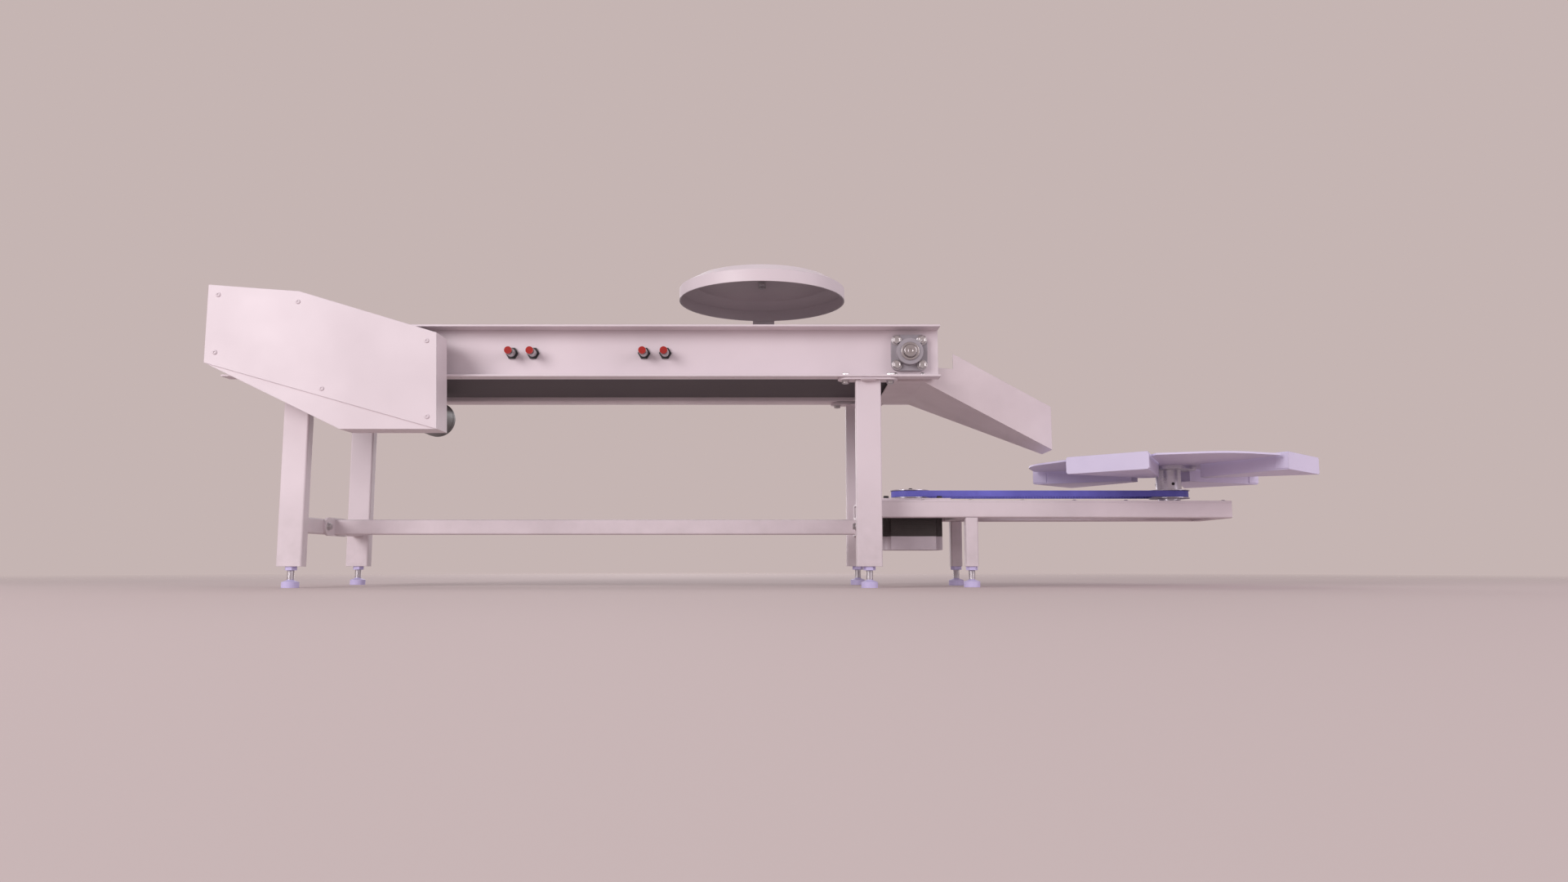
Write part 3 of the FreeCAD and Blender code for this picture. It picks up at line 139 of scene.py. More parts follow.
def turnedSteel(name, look):
    # fine rings round an axis that runs along look["along"]
    mat, shader, place = blankFinish(name, metal=look["metal"])
    lines = [1500 if axis == look["along"] else 24 for axis in "XYZ"]
    grain = noise(mat, spread(mat, place, lines), "Vector", 1.0, 4)
    cloud = noise(mat, place, "Object", 30)
    tone = blendColour(mat, (remap(mat, grain, "Fac", 0, 1), "Result"), look["base"], look["shade"])
    dirt = remap(mat, cloud, "Fac", 0, 0.35, 0.45, 0.8)
    soiled = blendColour(mat, (dirt, "Result"), (tone, 2), look["soil"])
    bevel, edge = edgeMask(mat, 0.0008)
    bright = blendColour(mat, (edge, "Result"), (soiled, 2), look["worn"])
    wire(mat, bright, 2, shader, "Base Color")
    wire(mat, remap(mat, cloud, "Fac", *look["rough"]), "Result", shader, "Roughness")
    bump(mat, shader, [(grain, "Fac", 0.25, 0.00006)], bevel)
    return mat


def castMetal(name, look):
    mat, shader, place = blankFinish(name, metal=look["metal"])
    sand = noise(mat, place, "Object", 900, 4)
    cloud = noise(mat, place, "Object", 40)
    tone = blendColour(mat, (remap(mat, cloud, "Fac", 0, 1), "Result"), look["base"], look["shade"])
    bevel, edge = edgeMask(mat, 0.0012)
    rubbed = blendColour(mat, (edge, "Result"), (tone, 2), look["worn"])
    wire(mat, rubbed, 2, shader, "Base Color")
    wire(mat, remap(mat, sand, "Fac", *look["rough"]), "Result", shader, "Roughness")
    layers = [(sand, "Fac", 0.45, 0.0002)]
    if "sheets" in look:
        # a stack of thin sheets, seen on its sides
        axes = addNode(mat, "SeparateXYZ")
        wire(mat, place, "Object", axes, "Vector")
        sheet = addNode(mat, "Math", operation="PINGPONG")
        sheet.inputs[1].default_value = look["sheets"] / 2
        wire(mat, axes, "Z", sheet, 0)
        layers.append((remap(mat, sheet, "Value", 0, 1, 0, look["sheets"] / 4), "Result", 0.8, 0.0003))
    bump(mat, shader, layers, bevel)
    return mat


def beltFabric(name, look):
    # a woven surface, with a zigzag finger splice across the belt
    mat, shader, place = blankFinish(name, specular=0.35)
    weave = addNode(mat, "TexWave", {"Scale": look["weave"], "Distortion": 0.6, "Detail": 1.0},
                    bands_direction="X")
    cross = addNode(mat, "TexWave", {"Scale": look["weave"], "Distortion": 0.6, "Detail": 1.0},
                    bands_direction="Y")
    for thread in (weave, cross):
        wire(mat, place, "Object", thread, "Vector")
    cloth = addNode(mat, "Math", operation="MULTIPLY")
    wire(mat, weave, "Fac", cloth, 0)
    wire(mat, cross, "Fac", cloth, 1)
    rub = noise(mat, spread(mat, place, (2.5, 55, 55)), "Vector", 1.0, 5)
    rubbed = remap(mat, rub, "Fac", 0, 1, 0.35, 0.68)
    tone = blendColour(mat, (rubbed, "Result"), look["base"], look["rubbed"])
    axes = addNode(mat, "SeparateXYZ")
    wire(mat, place, "Object", axes, "Vector")
    fingers = addNode(mat, "Math", operation="PINGPONG")
    fingers.inputs[1].default_value = look["finger"]
    wire(mat, axes, "Y", fingers, 0)
    across = addNode(mat, "Math", operation="MULTIPLY_ADD")
    across.inputs[1].default_value = look["fingerSlope"]
    across.inputs[2].default_value = look["spliceAt"]
    wire(mat, fingers, "Value", across, 0)
    away = addNode(mat, "Math", operation="SUBTRACT")
    wire(mat, axes, "X", away, 0)
    wire(mat, across, "Value", away, 1)
    near = addNode(mat, "Math", operation="ABSOLUTE")
    wire(mat, away, "Value", near, 0)
    seam = remap(mat, near, "Value", 1, 0, *look["seamHalf"])
    joined = blendColour(mat, (seam, "Result"), (tone, 2), look["seam"])
    wire(mat, joined, 2, shader, "Base Color")
    wire(mat, remap(mat, rub, "Fac", *look["rough"]), "Result", shader, "Roughness")
    bump(mat, shader, [(cloth, "Value", 0.5, 0.0003), (seam, "Result", 0.3, -0.0002)])
    return mat


def mouldedPlastic(name, look):
    mat, shader, place = blankFinish(name, specular=look["gloss"])
    grain = noise(mat, place, "Object", look["grain"], 3)
    cloud = noise(mat, place, "Object", 35)
    tone = blendColour(mat, (remap(mat, cloud, "Fac", 0, 1), "Result"), look["base"], look["shade"])
    bevel, edge = edgeMask(mat, 0.0009)
    # the edges get a lighter colour, a painted highlight, on top of the rounded normal that shades them
    highlightedEdges = blendColour(mat, (edge, "Result"), (tone, 2), look["edgeHighlight"])
    wire(mat, highlightedEdges, 2, shader, "Base Color")
    wire(mat, remap(mat, cloud, "Fac", *look["rough"]), "Result", shader, "Roughness")
    bump(mat, shader, [(grain, "Fac", 0.3, 0.00015)], bevel)
    return mat


finishes = {
    "framePaint": powderCoat("framePaint", {
        "base": (0.72, 0.625, 0.66), "shade": (0.67, 0.58, 0.612), "worn": (0.84, 0.80, 0.81), "cloud": 7,
        "dustTone": (0.42, 0.37, 0.36), "dust": 0.45, "edge": 0.0012, "wear": 0.55, "peel": 1300,
        "rough": (0.42, 0.56), "coat": 0.08}),
    # a darker copy of the frame's paint, painted shade on the chute; its edges show more wear
    "chuteShadedPaint": powderCoat("chuteShadedPaint", {
        "base": (0.64, 0.54, 0.56), "shade": (0.585, 0.49, 0.508), "worn": (0.80, 0.76, 0.77), "cloud": 12,
        "dustTone": (0.42, 0.37, 0.36), "dust": 0.0, "edge": 0.001, "wear": 0.7, "peel": 1300,
        "rough": (0.40, 0.54), "coat": 0.08}),
    "carouselPaint": powderCoat("carouselPaint", {
        "base": (0.73, 0.665, 0.86), "shade": (0.67, 0.61, 0.80), "worn": (0.80, 0.76, 0.87), "cloud": 9,
        "dustTone": (0.46, 0.42, 0.48), "dust": 0.0, "edge": 0.0009, "wear": 0.8, "peel": 1400,
        "rough": (0.42, 0.56), "coat": 0.08}),
    "footPlastic": mouldedPlastic("footPlastic", {
        "base": (0.60, 0.535, 0.80), "shade": (0.54, 0.48, 0.74), "edgeHighlight": (0.74, 0.70, 0.86),
        "grain": 1100, "rough": (0.42, 0.55), "gloss": 0.45}),
    "beltRubber": beltFabric("beltRubber", {
        "base": (0.078, 0.062, 0.070), "rubbed": (0.092, 0.074, 0.083), "seam": (0.060, 0.048, 0.054),
        "weave": 520, "finger": 0.009, "fingerSlope": 3.2, "spliceAt": -0.335, "seamHalf": (0.0006, 0.0016),
        "rough": (0.62, 0.74)}),
    "rollerSteel": turnedSteel("rollerSteel", {
        "along": "Y", "metal": 1.0, "base": (0.52, 0.49, 0.50), "shade": (0.44, 0.42, 0.43),
        "soil": (0.22, 0.19, 0.18), "worn": (0.75, 0.73, 0.74), "rough": (0.24, 0.38)}),
    "ringSteel": turnedSteel("ringSteel", {
        "along": "Y", "metal": 0.25, "base": (0.66, 0.59, 0.635), "shade": (0.59, 0.53, 0.57),
        "soil": (0.46, 0.40, 0.43), "worn": (0.80, 0.76, 0.78), "rough": (0.32, 0.44)}),
    "machinedAluminium": turnedSteel("machinedAluminium", {
        "along": "Z", "metal": 0.8, "base": (0.66, 0.63, 0.70), "shade": (0.58, 0.56, 0.62),
        "soil": (0.36, 0.34, 0.37), "worn": (0.85, 0.84, 0.87), "rough": (0.26, 0.38)}),
    "bearingCast": castMetal("bearingCast", {
        "metal": 0.0, "base": (0.36, 0.325, 0.355), "shade": (0.31, 0.28, 0.305),
        "worn": (0.55, 0.51, 0.54), "rough": (0.45, 0.60)}),
    "blackHousing": castMetal("blackHousing", {
        "metal": 0.0, "base": (0.050, 0.040, 0.041), "shade": (0.038, 0.030, 0.031),
        "worn": (0.13, 0.11, 0.115), "rough": (0.30, 0.44)}),
    "stepperStack": castMetal("stepperStack", {
        "metal": 0.0, "base": (0.042, 0.033, 0.032), "shade": (0.032, 0.025, 0.024),
        "worn": (0.11, 0.09, 0.09), "rough": (0.30, 0.44), "sheets": 0.0022}),
    "stepperGrey": castMetal("stepperGrey", {
        "metal": 0.1, "base": (0.57, 0.50, 0.545), "shade": (0.51, 0.445, 0.485),
        "worn": (0.72, 0.66, 0.70), "rough": (0.40, 0.52)}),
    "sensorBlack": mouldedPlastic("sensorBlack", {
        "base": (0.020, 0.018, 0.020), "shade": (0.014, 0.012, 0.014), "edgeHighlight": (0.07, 0.06, 0.07),
        "grain": 1500, "rough": (0.38, 0.5), "gloss": 0.5}),
    "sensorRed": mouldedPlastic("sensorRed", {
        "base": (0.42, 0.018, 0.012), "shade": (0.30, 0.010, 0.008), "edgeHighlight": (0.62, 0.10, 0.08),
        "grain": 300, "rough": (0.10, 0.20), "gloss": 0.6}),
    "driveBeltBlue": mouldedPlastic("driveBeltBlue", {
        "base": (0.17, 0.165, 0.62), "shade": (0.135, 0.13, 0.52), "edgeHighlight": (0.34, 0.33, 0.80),
        "grain": 2000, "rough": (0.42, 0.56), "gloss": 0.4}),
    "zincPlate": castMetal("zincPlate", {
        "metal": 1.0, "base": (0.58, 0.56, 0.57), "shade": (0.48, 0.46, 0.47), "worn": (0.80, 0.79, 0.80),
        "rough": (0.28, 0.42)}),
    "darkScrew": castMetal("darkScrew", {
        "metal": 0.6, "base": (0.045, 0.040, 0.042), "shade": (0.03, 0.026, 0.028),
        "worn": (0.16, 0.14, 0.14), "rough": (0.32, 0.46)}),
}

nodeFinish = {
    "conveyor_feet": "footPlastic", "table_feet": "footPlastic", "conveyor_belt": "beltRubber",
    "roller_drive": "rollerSteel", "roller_head": "rollerSteel", "roller_bearings": "bearingCast",
    "gearmotor_nose": "ringSteel", "gearmotor_ring": "ringSteel", "gearbox": "blackHousing",
    "drive_motor": "blackHousing", "sensors": "sensorBlack", "sensor_ends": "sensorRed",
    "stepper_cap": "stepperGrey", "stepper_motor": "stepperStack", "bearing_block": "carouselPaint",
    "drive_belt": "driveBeltBlue", "motor_pulley": "machinedAluminium", "chute": "chuteShadedPaint",
    "carousel_pulley": "machinedAluminium", "carousel_shaft": "rollerSteel",
    "carousel_hub": "machinedAluminium", "hub_cap": "machinedAluminium", "petal_plate": "carouselPaint",
    "tray_1": "carouselPaint", "tray_2": "carouselPaint", "tray_3": "carouselPaint",
    "tray_4": "carouselPaint",
}
for nodeName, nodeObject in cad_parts.items():
    nodeObject.data.materials.clear()
    nodeObject.data.materials.append(finishes[nodeFinish.get(nodeName, "framePaint")])
print("finishes:", len(finishes))


def clearSelection():
    if bpy.context.object and bpy.context.object.mode != "OBJECT":
        bpy.ops.object.mode_set(mode="OBJECT")
    bpy.ops.object.select_all(action="DESELECT")


def ringStack(name, sides, rings):
    # a closed form drawn up from its first ring: each ring is (radius, height)
    clearSelection()
    radius, height = rings[0]
    bpy.ops.mesh.primitive_circle_add(vertices=sides, radius=radius, fill_type="NGON",
                                      location=(0, 0, height))
    piece = bpy.context.object
    piece.name = name
    bpy.ops.object.mode_set(mode="EDIT")
    bpy.ops.mesh.select_all(action="SELECT")
    for nextRadius, nextHeight in rings[1:]:
        bpy.ops.mesh.extrude_region_move(
            TRANSFORM_OT_translate={"value": (0, 0, nextHeight - height)})
        share = nextRadius / radius
        bpy.ops.transform.resize(value=(share, share, 1))
        radius, height = nextRadius, nextHeight
    bpy.ops.mesh.select_all(action="SELECT")
    bpy.ops.mesh.normals_make_consistent(inside=False)
    bpy.ops.object.mode_set(mode="OBJECT")
    bpy.ops.object.transform_apply(location=True, rotation=True, scale=True)
    return piece


def softEdges(piece, width, angle=35):
    clearSelection()
    bpy.context.view_layer.objects.active = piece
    piece.select_set(True)
    rounding = piece.modifiers.new("rounding", "BEVEL")
    rounding.width = width
    rounding.segments = 2
    rounding.limit_method = "ANGLE"
    rounding.angle_limit = math.radians(angle)
    bpy.ops.object.modifier_apply(modifier="rounding")
    bpy.ops.object.shade_smooth_by_angle(angle=math.radians(angle))


def placed(template, spots, name):
    # copies of one piece, each with its own mesh, joined into one piece; a spot is (place, direction)
    copies = []
    for place, direction in spots:
        copy = template.copy()
        copy.data = template.data.copy()
        bpy.context.scene.collection.objects.link(copy)
        turn = Vector((0, 0, 1)).rotation_difference(Vector(direction)).to_matrix().to_4x4()
        copy.matrix_world = Matrix.Translation(Vector(place)) @ turn
        copies.append(copy)
    clearSelection()
    for copy in copies:
        copy.select_set(True)
    bpy.context.view_layer.objects.active = copies[0]
    bpy.ops.object.join()
    bpy.ops.object.transform_apply(location=True, rotation=True, scale=True)
    piece = bpy.context.object
    piece.name = name
    bpy.data.objects.remove(template)
    return piece


def finishPiece(piece, finish, body="frame"):
    piece.data.materials.clear()
    piece.data.materials.append(finishes[finish])
    piece.data.name = piece.name
    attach(piece, body)
    print("piece:", piece.name, len(piece.data.polygons), "faces")
    return piece


def hexBolt(name, look):
    # head with a washer face, seen from the side it is turned on
    head = ringStack(name, 6, [
        (look["corner"], look["washer"]), (look["corner"], look["washer"] + look["head"] * 0.8),
        (look["corner"] * 0.86, look["washer"] + look["head"]),
        (look["corner"] * 0.62, look["washer"] + look["head"]),
        (look["corner"] * 0.58, look["washer"] + look["head"] * 0.94)])
    washer = ringStack(name + "Washer", 20, [
        (look["corner"] * 1.14, 0.0), (look["corner"] * 1.18, look["washer"] * 0.4),
        (look["corner"] * 1.12, look["washer"]), (look["corner"] * 0.8, look["washer"])])
    return joined([head, washer], name)


def socketScrew(name, radius, height):
    return ringStack(name, 16, [
        (radius, 0), (radius, height * 0.82), (radius * 0.88, height), (radius * 0.58, height),
        (radius * 0.52, height * 0.92), (radius * 0.50, height * 0.45)])


def buttonScrew(name, radius, height):
    return ringStack(name, 20, [
        (radius, 0), (radius * 0.96, height * 0.35), (radius * 0.78, height * 0.78),
        (radius * 0.50, height), (radius * 0.42, height), (radius * 0.38, height * 0.5)])


def joined(pieces, name):
    clearSelection()
    for piece in pieces:
        piece.select_set(True)
    bpy.context.view_layer.objects.active = pieces[0]
    bpy.ops.object.join()
    piece = bpy.context.object
    piece.name = name
    return piece


# bolts that hold the legs to the rails, and the brace to the cross bars
frameBolts = {"corner": 0.0058, "head": 0.004, "washer": 0.0012, "pitch": 0.0355,
              "legs": (-0.767, 0.133), "across": 0.132, "padLow": 0.326, "flangeTop": 0.333}
spots = []
for legX in frameBolts["legs"]:
    for side in (-1, 1):
        for end in (-1, 1):
            x, y = legX + end * frameBolts["pitch"], side * frameBolts["across"]
            spots.append(((x, y, frameBolts["padLow"]), (0, 0, -1)))
            spots.append(((x, y, frameBolts["flangeTop"]), (0, 0, 1)))
finishPiece(placed(hexBolt("legBolt", frameBolts), spots, "legBolts"), "zincPlate")

braceBolts = {"corner": 0.0058, "head": 0.004, "washer": 0.0012, "height": 0.0985, "across": 0.0355,
              "driveFace": -0.753, "headFace": 0.119}
spots = []
for side in (-1, 1):
    y = side * braceBolts["across"]
    spots.append(((braceBolts["driveFace"], y, braceBolts["height"]), (1, 0, 0)))
    spots.append(((braceBolts["headFace"], y, braceBolts["height"]), (-1, 0, 0)))
finishPiece(placed(hexBolt("braceBolt", braceBolts), spots, "braceBolts"), "zincPlate")


# bearings: flange bolts, inner rings, grease nipples and shaft ends
bearingLook = {"rollers": (-0.8232, 0.2), "height": 0.372, "flange": 0.129, "housing": 0.141,
               "pitch": 0.020, "corner": 0.0072, "head": 0.0045, "washer": 0.0014, "shaft": 0.146,
               "nippleAside": 0.0145, "nippleOut": 0.1365,
               "ring": ((0.0146, -0.0005), (0.0146, 0.0016), (0.0138, 0.0022), (0.0112, 0.0022),
                        (0.01015, 0.0012)),
               "nipple": ((0.0024, 0), (0.0024, 0.003), (0.0014, 0.0034), (0.0013, 0.005),
                          (0.0019, 0.0056), (0.0015, 0.0068)),
               "shaftEnd": ((0.0098, -0.0002), (0.0090, 0.0008), (0.0040, 0.0008), (0.0012, -0.0010))}
bolts, rings, nipples, shaftEnds = [], [], [], []
for rollerX in bearingLook["rollers"]:
    for side in (-1, 1):
        for right in (-1, 1):
            for up in (-1, 1):
                bolts.append(((rollerX + right * bearingLook["pitch"], side * bearingLook["flange"],
                               bearingLook["height"] + up * bearingLook["pitch"]), (0, side, 0)))
        rings.append(((rollerX, side * bearingLook["housing"], bearingLook["height"]), (0, side, 0)))
        nipples.append(((rollerX + bearingLook["nippleAside"], side * bearingLook["nippleOut"],
                         bearingLook["height"] + bearingLook["nippleAside"]), (0.7, 0, 0.7)))
        shaftEnds.append(((rollerX, side * bearingLook["shaft"], bearingLook["height"]), (0, side, 0)))
finishPiece(placed(hexBolt("bearingBolt", bearingLook), bolts, "bearingBolts"), "zincPlate")
ring = ringStack("bearingRing", 40, bearingLook["ring"])
finishPiece(placed(ring, rings, "bearingRings"), "rollerSteel")
nipple = ringStack("nipple", 10, bearingLook["nipple"])
finishPiece(placed(nipple, nipples, "greaseNipples"), "zincPlate")
shaftEnd = ringStack("shaftEnd", 32, bearingLook["shaftEnd"])
finishPiece(placed(shaftEnd, shaftEnds, "shaftEnds"), "rollerSteel")


# threads on the studs of the levelling feet
threadLook = {"feet": ((-0.767, -0.132), (-0.767, 0.132), (0.133, -0.132), (0.133, 0.132),
                       (0.3016, -0.0783), (0.3016, 0.0783)),
              "low": 0.0125, "high": 0.0268, "pitch": 0.0013, "root": 0.00502, "crest": 0.0056}
turns = []
height = threadLook["low"]
while height + threadLook["pitch"] <= threadLook["high"]:
    turns += [(threadLook["root"], height), (threadLook["crest"], height + threadLook["pitch"] * 0.5)]
    height += threadLook["pitch"]
turns.append((threadLook["root"], height))
thread = ringStack("studThread", 20, turns)
finishPiece(placed(thread, [((x, y, 0), (0, 0, 1)) for x, y in threadLook["feet"]], "studThreads"),
            "zincPlate")


# screws of the guard's cover
guardLook = {"left": -0.8854, "bottom": 0.330, "face": -0.2007, "screw": 0.0038, "rise": 0.0016,
             "screws": ((0.016, 0.028), (0.016, 0.118), (0.139, 0.107), (0.339, 0.046), (0.344, -0.071),
                        (0.182, -0.028))}
spots = [((guardLook["left"] + x, guardLook["face"], guardLook["bottom"] + z), (0, -1, 0))
         for x, z in guardLook["screws"]]
finishPiece(placed(buttonScrew("coverScrew", guardLook["screw"], guardLook["rise"]), spots,
                   "coverScrews"), "framePaint")


# threads on the sensors' barrels
sensorLook = {"places": (-0.4356, -0.4017, -0.2240, -0.1901), "height": 0.372, "web": 0.121,
              "nut": 0.004, "reach": 0.0225, "root": 0.00602, "crest": 0.0064, "pitch": 0.001}
turns = []
height = 0.0
while height + sensorLook["pitch"] <= sensorLook["reach"] - sensorLook["nut"]:
    turns += [(sensorLook["root"], height), (sensorLook["crest"], height + sensorLook["pitch"] * 0.5)]
    height += sensorLook["pitch"]
turns.append((sensorLook["root"], height))
thread = ringStack("barrelThread", 20, turns)
finishPiece(placed(thread, [((x, -(sensorLook["web"] + sensorLook["nut"]), sensorLook["height"]),
                             (0, -1, 0)) for x in sensorLook["places"]], "barrelThreads"),
            "zincPlate")


# screws that hold the chute to the rails
chuteLook = {"places": (0.178, 0.222), "height": 0.3382, "web": 0.121, "radius": 0.0034, "rise": 0.0018}
spots = [((x, side * chuteLook["web"], chuteLook["height"]), (0, side, 0))
         for x in chuteLook["places"] for side in (-1, 1)]
finishPiece(placed(buttonScrew("chuteScrew", chuteLook["radius"], chuteLook["rise"]), spots,
                   "chuteScrews"), "zincPlate")


# bolts of the hood's bracket
hoodLook = {"corner": 0.0058, "head": 0.004, "washer": 0.0012, "x": -0.038, "padY": 0.134,
            "pitch": 0.0355, "armAside": 0.012, "padTop": 0.417, "flangeLow": 0.410, "hoodLow": 0.518}
spots = []
for side in (-1, 1):
    x = hoodLook["x"] + side * hoodLook["pitch"]
    spots.append(((x, hoodLook["padY"], hoodLook["padTop"]), (0, 0, 1)))
    spots.append(((x, hoodLook["padY"], hoodLook["flangeLow"]), (0, 0, -1)))
    spots.append(((hoodLook["x"], side * hoodLook["armAside"], hoodLook["hoodLow"]), (0, 0, -1)))
finishPiece(placed(hexBolt("hoodBolt", hoodLook), spots, "hoodBolts"), "zincPlate")


# screws of the table's deck
deckLook = {"top": 0.139, "radius": 0.0036, "rise": 0.0018, "start": 0.145, "middle": 0.225,
            "knee": 0.3016, "last": 0.718, "end": 0.7278, "half": 0.0783, "endHalf": 0.060,
            "pitch": 0.085, "along": 5}
spots = []
for side in (-1, 1):
    for x in (deckLook["start"], deckLook["middle"], deckLook["knee"]):
        spots.append(((x, side * deckLook["half"], deckLook["top"]), (0, 0, 1)))
    for step in range(1, deckLook["along"] + 1):
        x = deckLook["knee"] + step * deckLook["pitch"]
        share = (x - deckLook["knee"]) / (deckLook["end"] - deckLook["knee"])
        y = deckLook["half"] + (deckLook["endHalf"] - deckLook["half"]) * share
        spots.append(((min(x, deckLook["last"]), side * y, deckLook["top"]), (0, 0, 1)))
finishPiece(placed(buttonScrew("deckScrew", deckLook["radius"], deckLook["rise"]), spots,
                   "deckScrews"), "zincPlate")


# bolt and nut in the table's end bar, screws of the bearing block and of the motor's plate
endBolt = {"x": 0.7278, "height": 0.1235, "inside": 0.7078,
           "rings": ((0.0052, 0), (0.0052, 0.0013), (0.0040, 0.0013), (0.0040, 0.0068), (0.0031, 0.0076),
                     (0.0028, 0.0076), (0.0028, 0.0128), (0.0022, 0.0138))}
bolt = ringStack("endBolt", 20, endBolt["rings"])
finishPiece(placed(bolt, [((endBolt["x"], 0, endBolt["height"]), (1, 0, 0))], "endBolt"),
            "darkScrew")
endNut = {"corner": 0.0052, "head": 0.0035, "washer": 0.001}
finishPiece(placed(hexBolt("endNut", endNut), [((endBolt["inside"], 0, endBolt["height"]), (-1, 0, 0))],
                   "endNut"), "zincPlate")

blockLook = {"x": 0.6515, "low": 0.117, "place": 0.033, "radius": 0.0021, "rise": 0.0007}
spots = [((blockLook["x"] + right * blockLook["place"], up * blockLook["place"], blockLook["low"]),
          (0, 0, -1)) for right in (-1, 1) for up in (-1, 1)]
finishPiece(placed(buttonScrew("blockScrew", blockLook["radius"], blockLook["rise"]), spots,
                   "blockScrews"), "darkScrew")

plateLook = {"x": 0.2124, "top": 0.144, "under": 0.139, "place": 0.044, "radius": 0.0045, "rise": 0.0045}
spots = [((plateLook["x"] + right * plateLook["place"], up * plateLook["place"], plateLook["top"]),
          (0, 0, 1)) for right in (-1, 1) for up in (-1, 1)]
finishPiece(placed(socketScrew("plateScrew", plateLook["radius"], plateLook["rise"]), spots,
                   "plateScrews"), "darkScrew")


# carousel: screws of its cap and of the motor's pulley, rivets of the trays
capLook = {"x": 0.6515, "top": 0.2115, "ring": 0.031, "radius": 0.0032, "rise": 0.0028, "turn": 1.0}
spots = []
for step in range(6):
    angle = math.radians(capLook["turn"] + 60 * step)
    spots.append(((capLook["x"] + capLook["ring"] * math.cos(angle), capLook["ring"] * math.sin(angle),
                   capLook["top"]), (0, 0, 1)))
finishPiece(placed(socketScrew("capScrew", capLook["radius"], capLook["rise"]), spots, "capScrews"),
            "darkScrew", "carousel")

rivetLook = {"x": 0.6515, "top": 0.2055, "ring": 0.053, "aside": 0.0055, "radius": 0.0022,
             "rise": 0.0011, "turn": 46.0}
spots = []
for step in range(4):
    angle = math.radians(rivetLook["turn"] + 90 * step)
    for side in (-1, 1):
        out, aside = rivetLook["ring"], side * rivetLook["aside"]
        x = rivetLook["x"] + out * math.cos(angle) - aside * math.sin(angle)
        y = out * math.sin(angle) + aside * math.cos(angle)
        spots.append(((x, y, rivetLook["top"]), (0, 0, 1)))
finishPiece(placed(buttonScrew("tabRivet", rivetLook["radius"], rivetLook["rise"]), spots, "tabRivets"),
            "zincPlate", "carousel")

pulleyLook = {"x": 0.2124, "top": 0.1605, "ring": 0.015, "radius": 0.003, "rise": 0.0026, "turn": 30.0}
spots = [((pulleyLook["x"], 0, pulleyLook["top"]), (0, 0, 1))]
for step in range(3):
    angle = math.radians(pulleyLook["turn"] + 120 * step)
    spots.append(((pulleyLook["x"] + pulleyLook["ring"] * math.cos(angle),
                   pulleyLook["ring"] * math.sin(angle), pulleyLook["top"]), (0, 0, 1)))
finishPiece(placed(socketScrew("pulleyScrew", pulleyLook["radius"], pulleyLook["rise"]), spots,
                   "pulleyScrews"), "darkScrew", "motor_shaft")


# teeth on the drive belt's two straight strands, clear of the turning pulleys
beltTeeth = {"start": 0.2209, "end": 0.6430, "pulley": 0.0277, "teeth": 36, "inner": 0.028, "low": 0.1485,
              "wide": 0.010, "deep": 0.0009, "foot": 0.0022, "crest": 0.0012}
clearSelection()
bpy.ops.mesh.primitive_plane_add(size=1, location=(0, 0, 0))
tooth = bpy.context.object
tooth.name = "tooth"
bpy.ops.object.mode_set(mode="EDIT")
bpy.ops.mesh.select_all(action="SELECT")
bpy.ops.transform.resize(value=(beltTeeth["foot"], beltTeeth["wide"], 1))
bpy.ops.mesh.extrude_region_move(TRANSFORM_OT_translate={"value": (0, 0, beltTeeth["deep"])})
bpy.ops.transform.resize(value=(beltTeeth["crest"] / beltTeeth["foot"], 1, 1))
bpy.ops.mesh.select_all(action="SELECT")
bpy.ops.mesh.normals_make_consistent(inside=False)
bpy.ops.object.mode_set(mode="OBJECT")
spots = []
toothPitch = 2 * math.pi * beltTeeth["pulley"] / beltTeeth["teeth"]
count = int((beltTeeth["end"] - beltTeeth["start"]) / toothPitch)
for side in (-1, 1):
    for step in range(count + 1):
        x = beltTeeth["start"] + step * toothPitch
        spots.append(((x, side * beltTeeth["inner"], beltTeeth["low"] + beltTeeth["wide"] / 2),
                      (0, -side, 0)))
finishPiece(placed(tooth, spots, "driveBeltTeeth"), "driveBeltBlue")


# nuts and bolt heads of three fixings through the rear rail's web, seen under the brace
webNuts = {"corner": 0.0044, "head": 0.003, "washer": 0.0008, "inside": 0.118, "outside": 0.121,
           "places": ((-0.070, 0.358), (-0.020, 0.358), (-0.045, 0.3735))}
spots = []
for x, z in webNuts["places"]:
    spots.append(((x, webNuts["inside"], z), (0, -1, 0)))
    spots.append(((x, webNuts["outside"], z), (0, 1, 0)))
finishPiece(placed(hexBolt("webNut", webNuts), spots, "webNuts"), "zincPlate")


# gearmotor: screws in its free end, clamp screws in its housing, and the seams of its end caps
motorLook = {"x": -0.6156, "height": 0.292, "end": 0.0827, "ring": 0.0215, "screw": 0.0026, "rise": 0.0022,
             "clampAt": -0.140, "clampRing": 0.0308, "clampScrew": 0.0024, "clampRise": 0.0012,
             "seams": (-0.0635, 0.0665),
             "seam": ((0.0301, 0), (0.0308, 0.0004), (0.0308, 0.0016), (0.0301, 0.0020))}
spots = []
for step in range(4):
    angle = math.radians(45 + 90 * step)
    spots.append(((motorLook["x"] + motorLook["ring"] * math.cos(angle), motorLook["end"],
                   motorLook["height"] + motorLook["ring"] * math.sin(angle)), (0, 1, 0)))
finishPiece(placed(socketScrew("motorScrew", motorLook["screw"], motorLook["rise"]), spots, "motorScrews"),
            "darkScrew")
spots = []
for step in range(3):
    angle = math.radians(30 + 120 * step)
    spots.append(((motorLook["x"] + motorLook["clampRing"] * math.cos(angle), motorLook["clampAt"],
                   motorLook["height"] + motorLook["clampRing"] * math.sin(angle)),
                  (math.cos(angle), 0, math.sin(angle))))
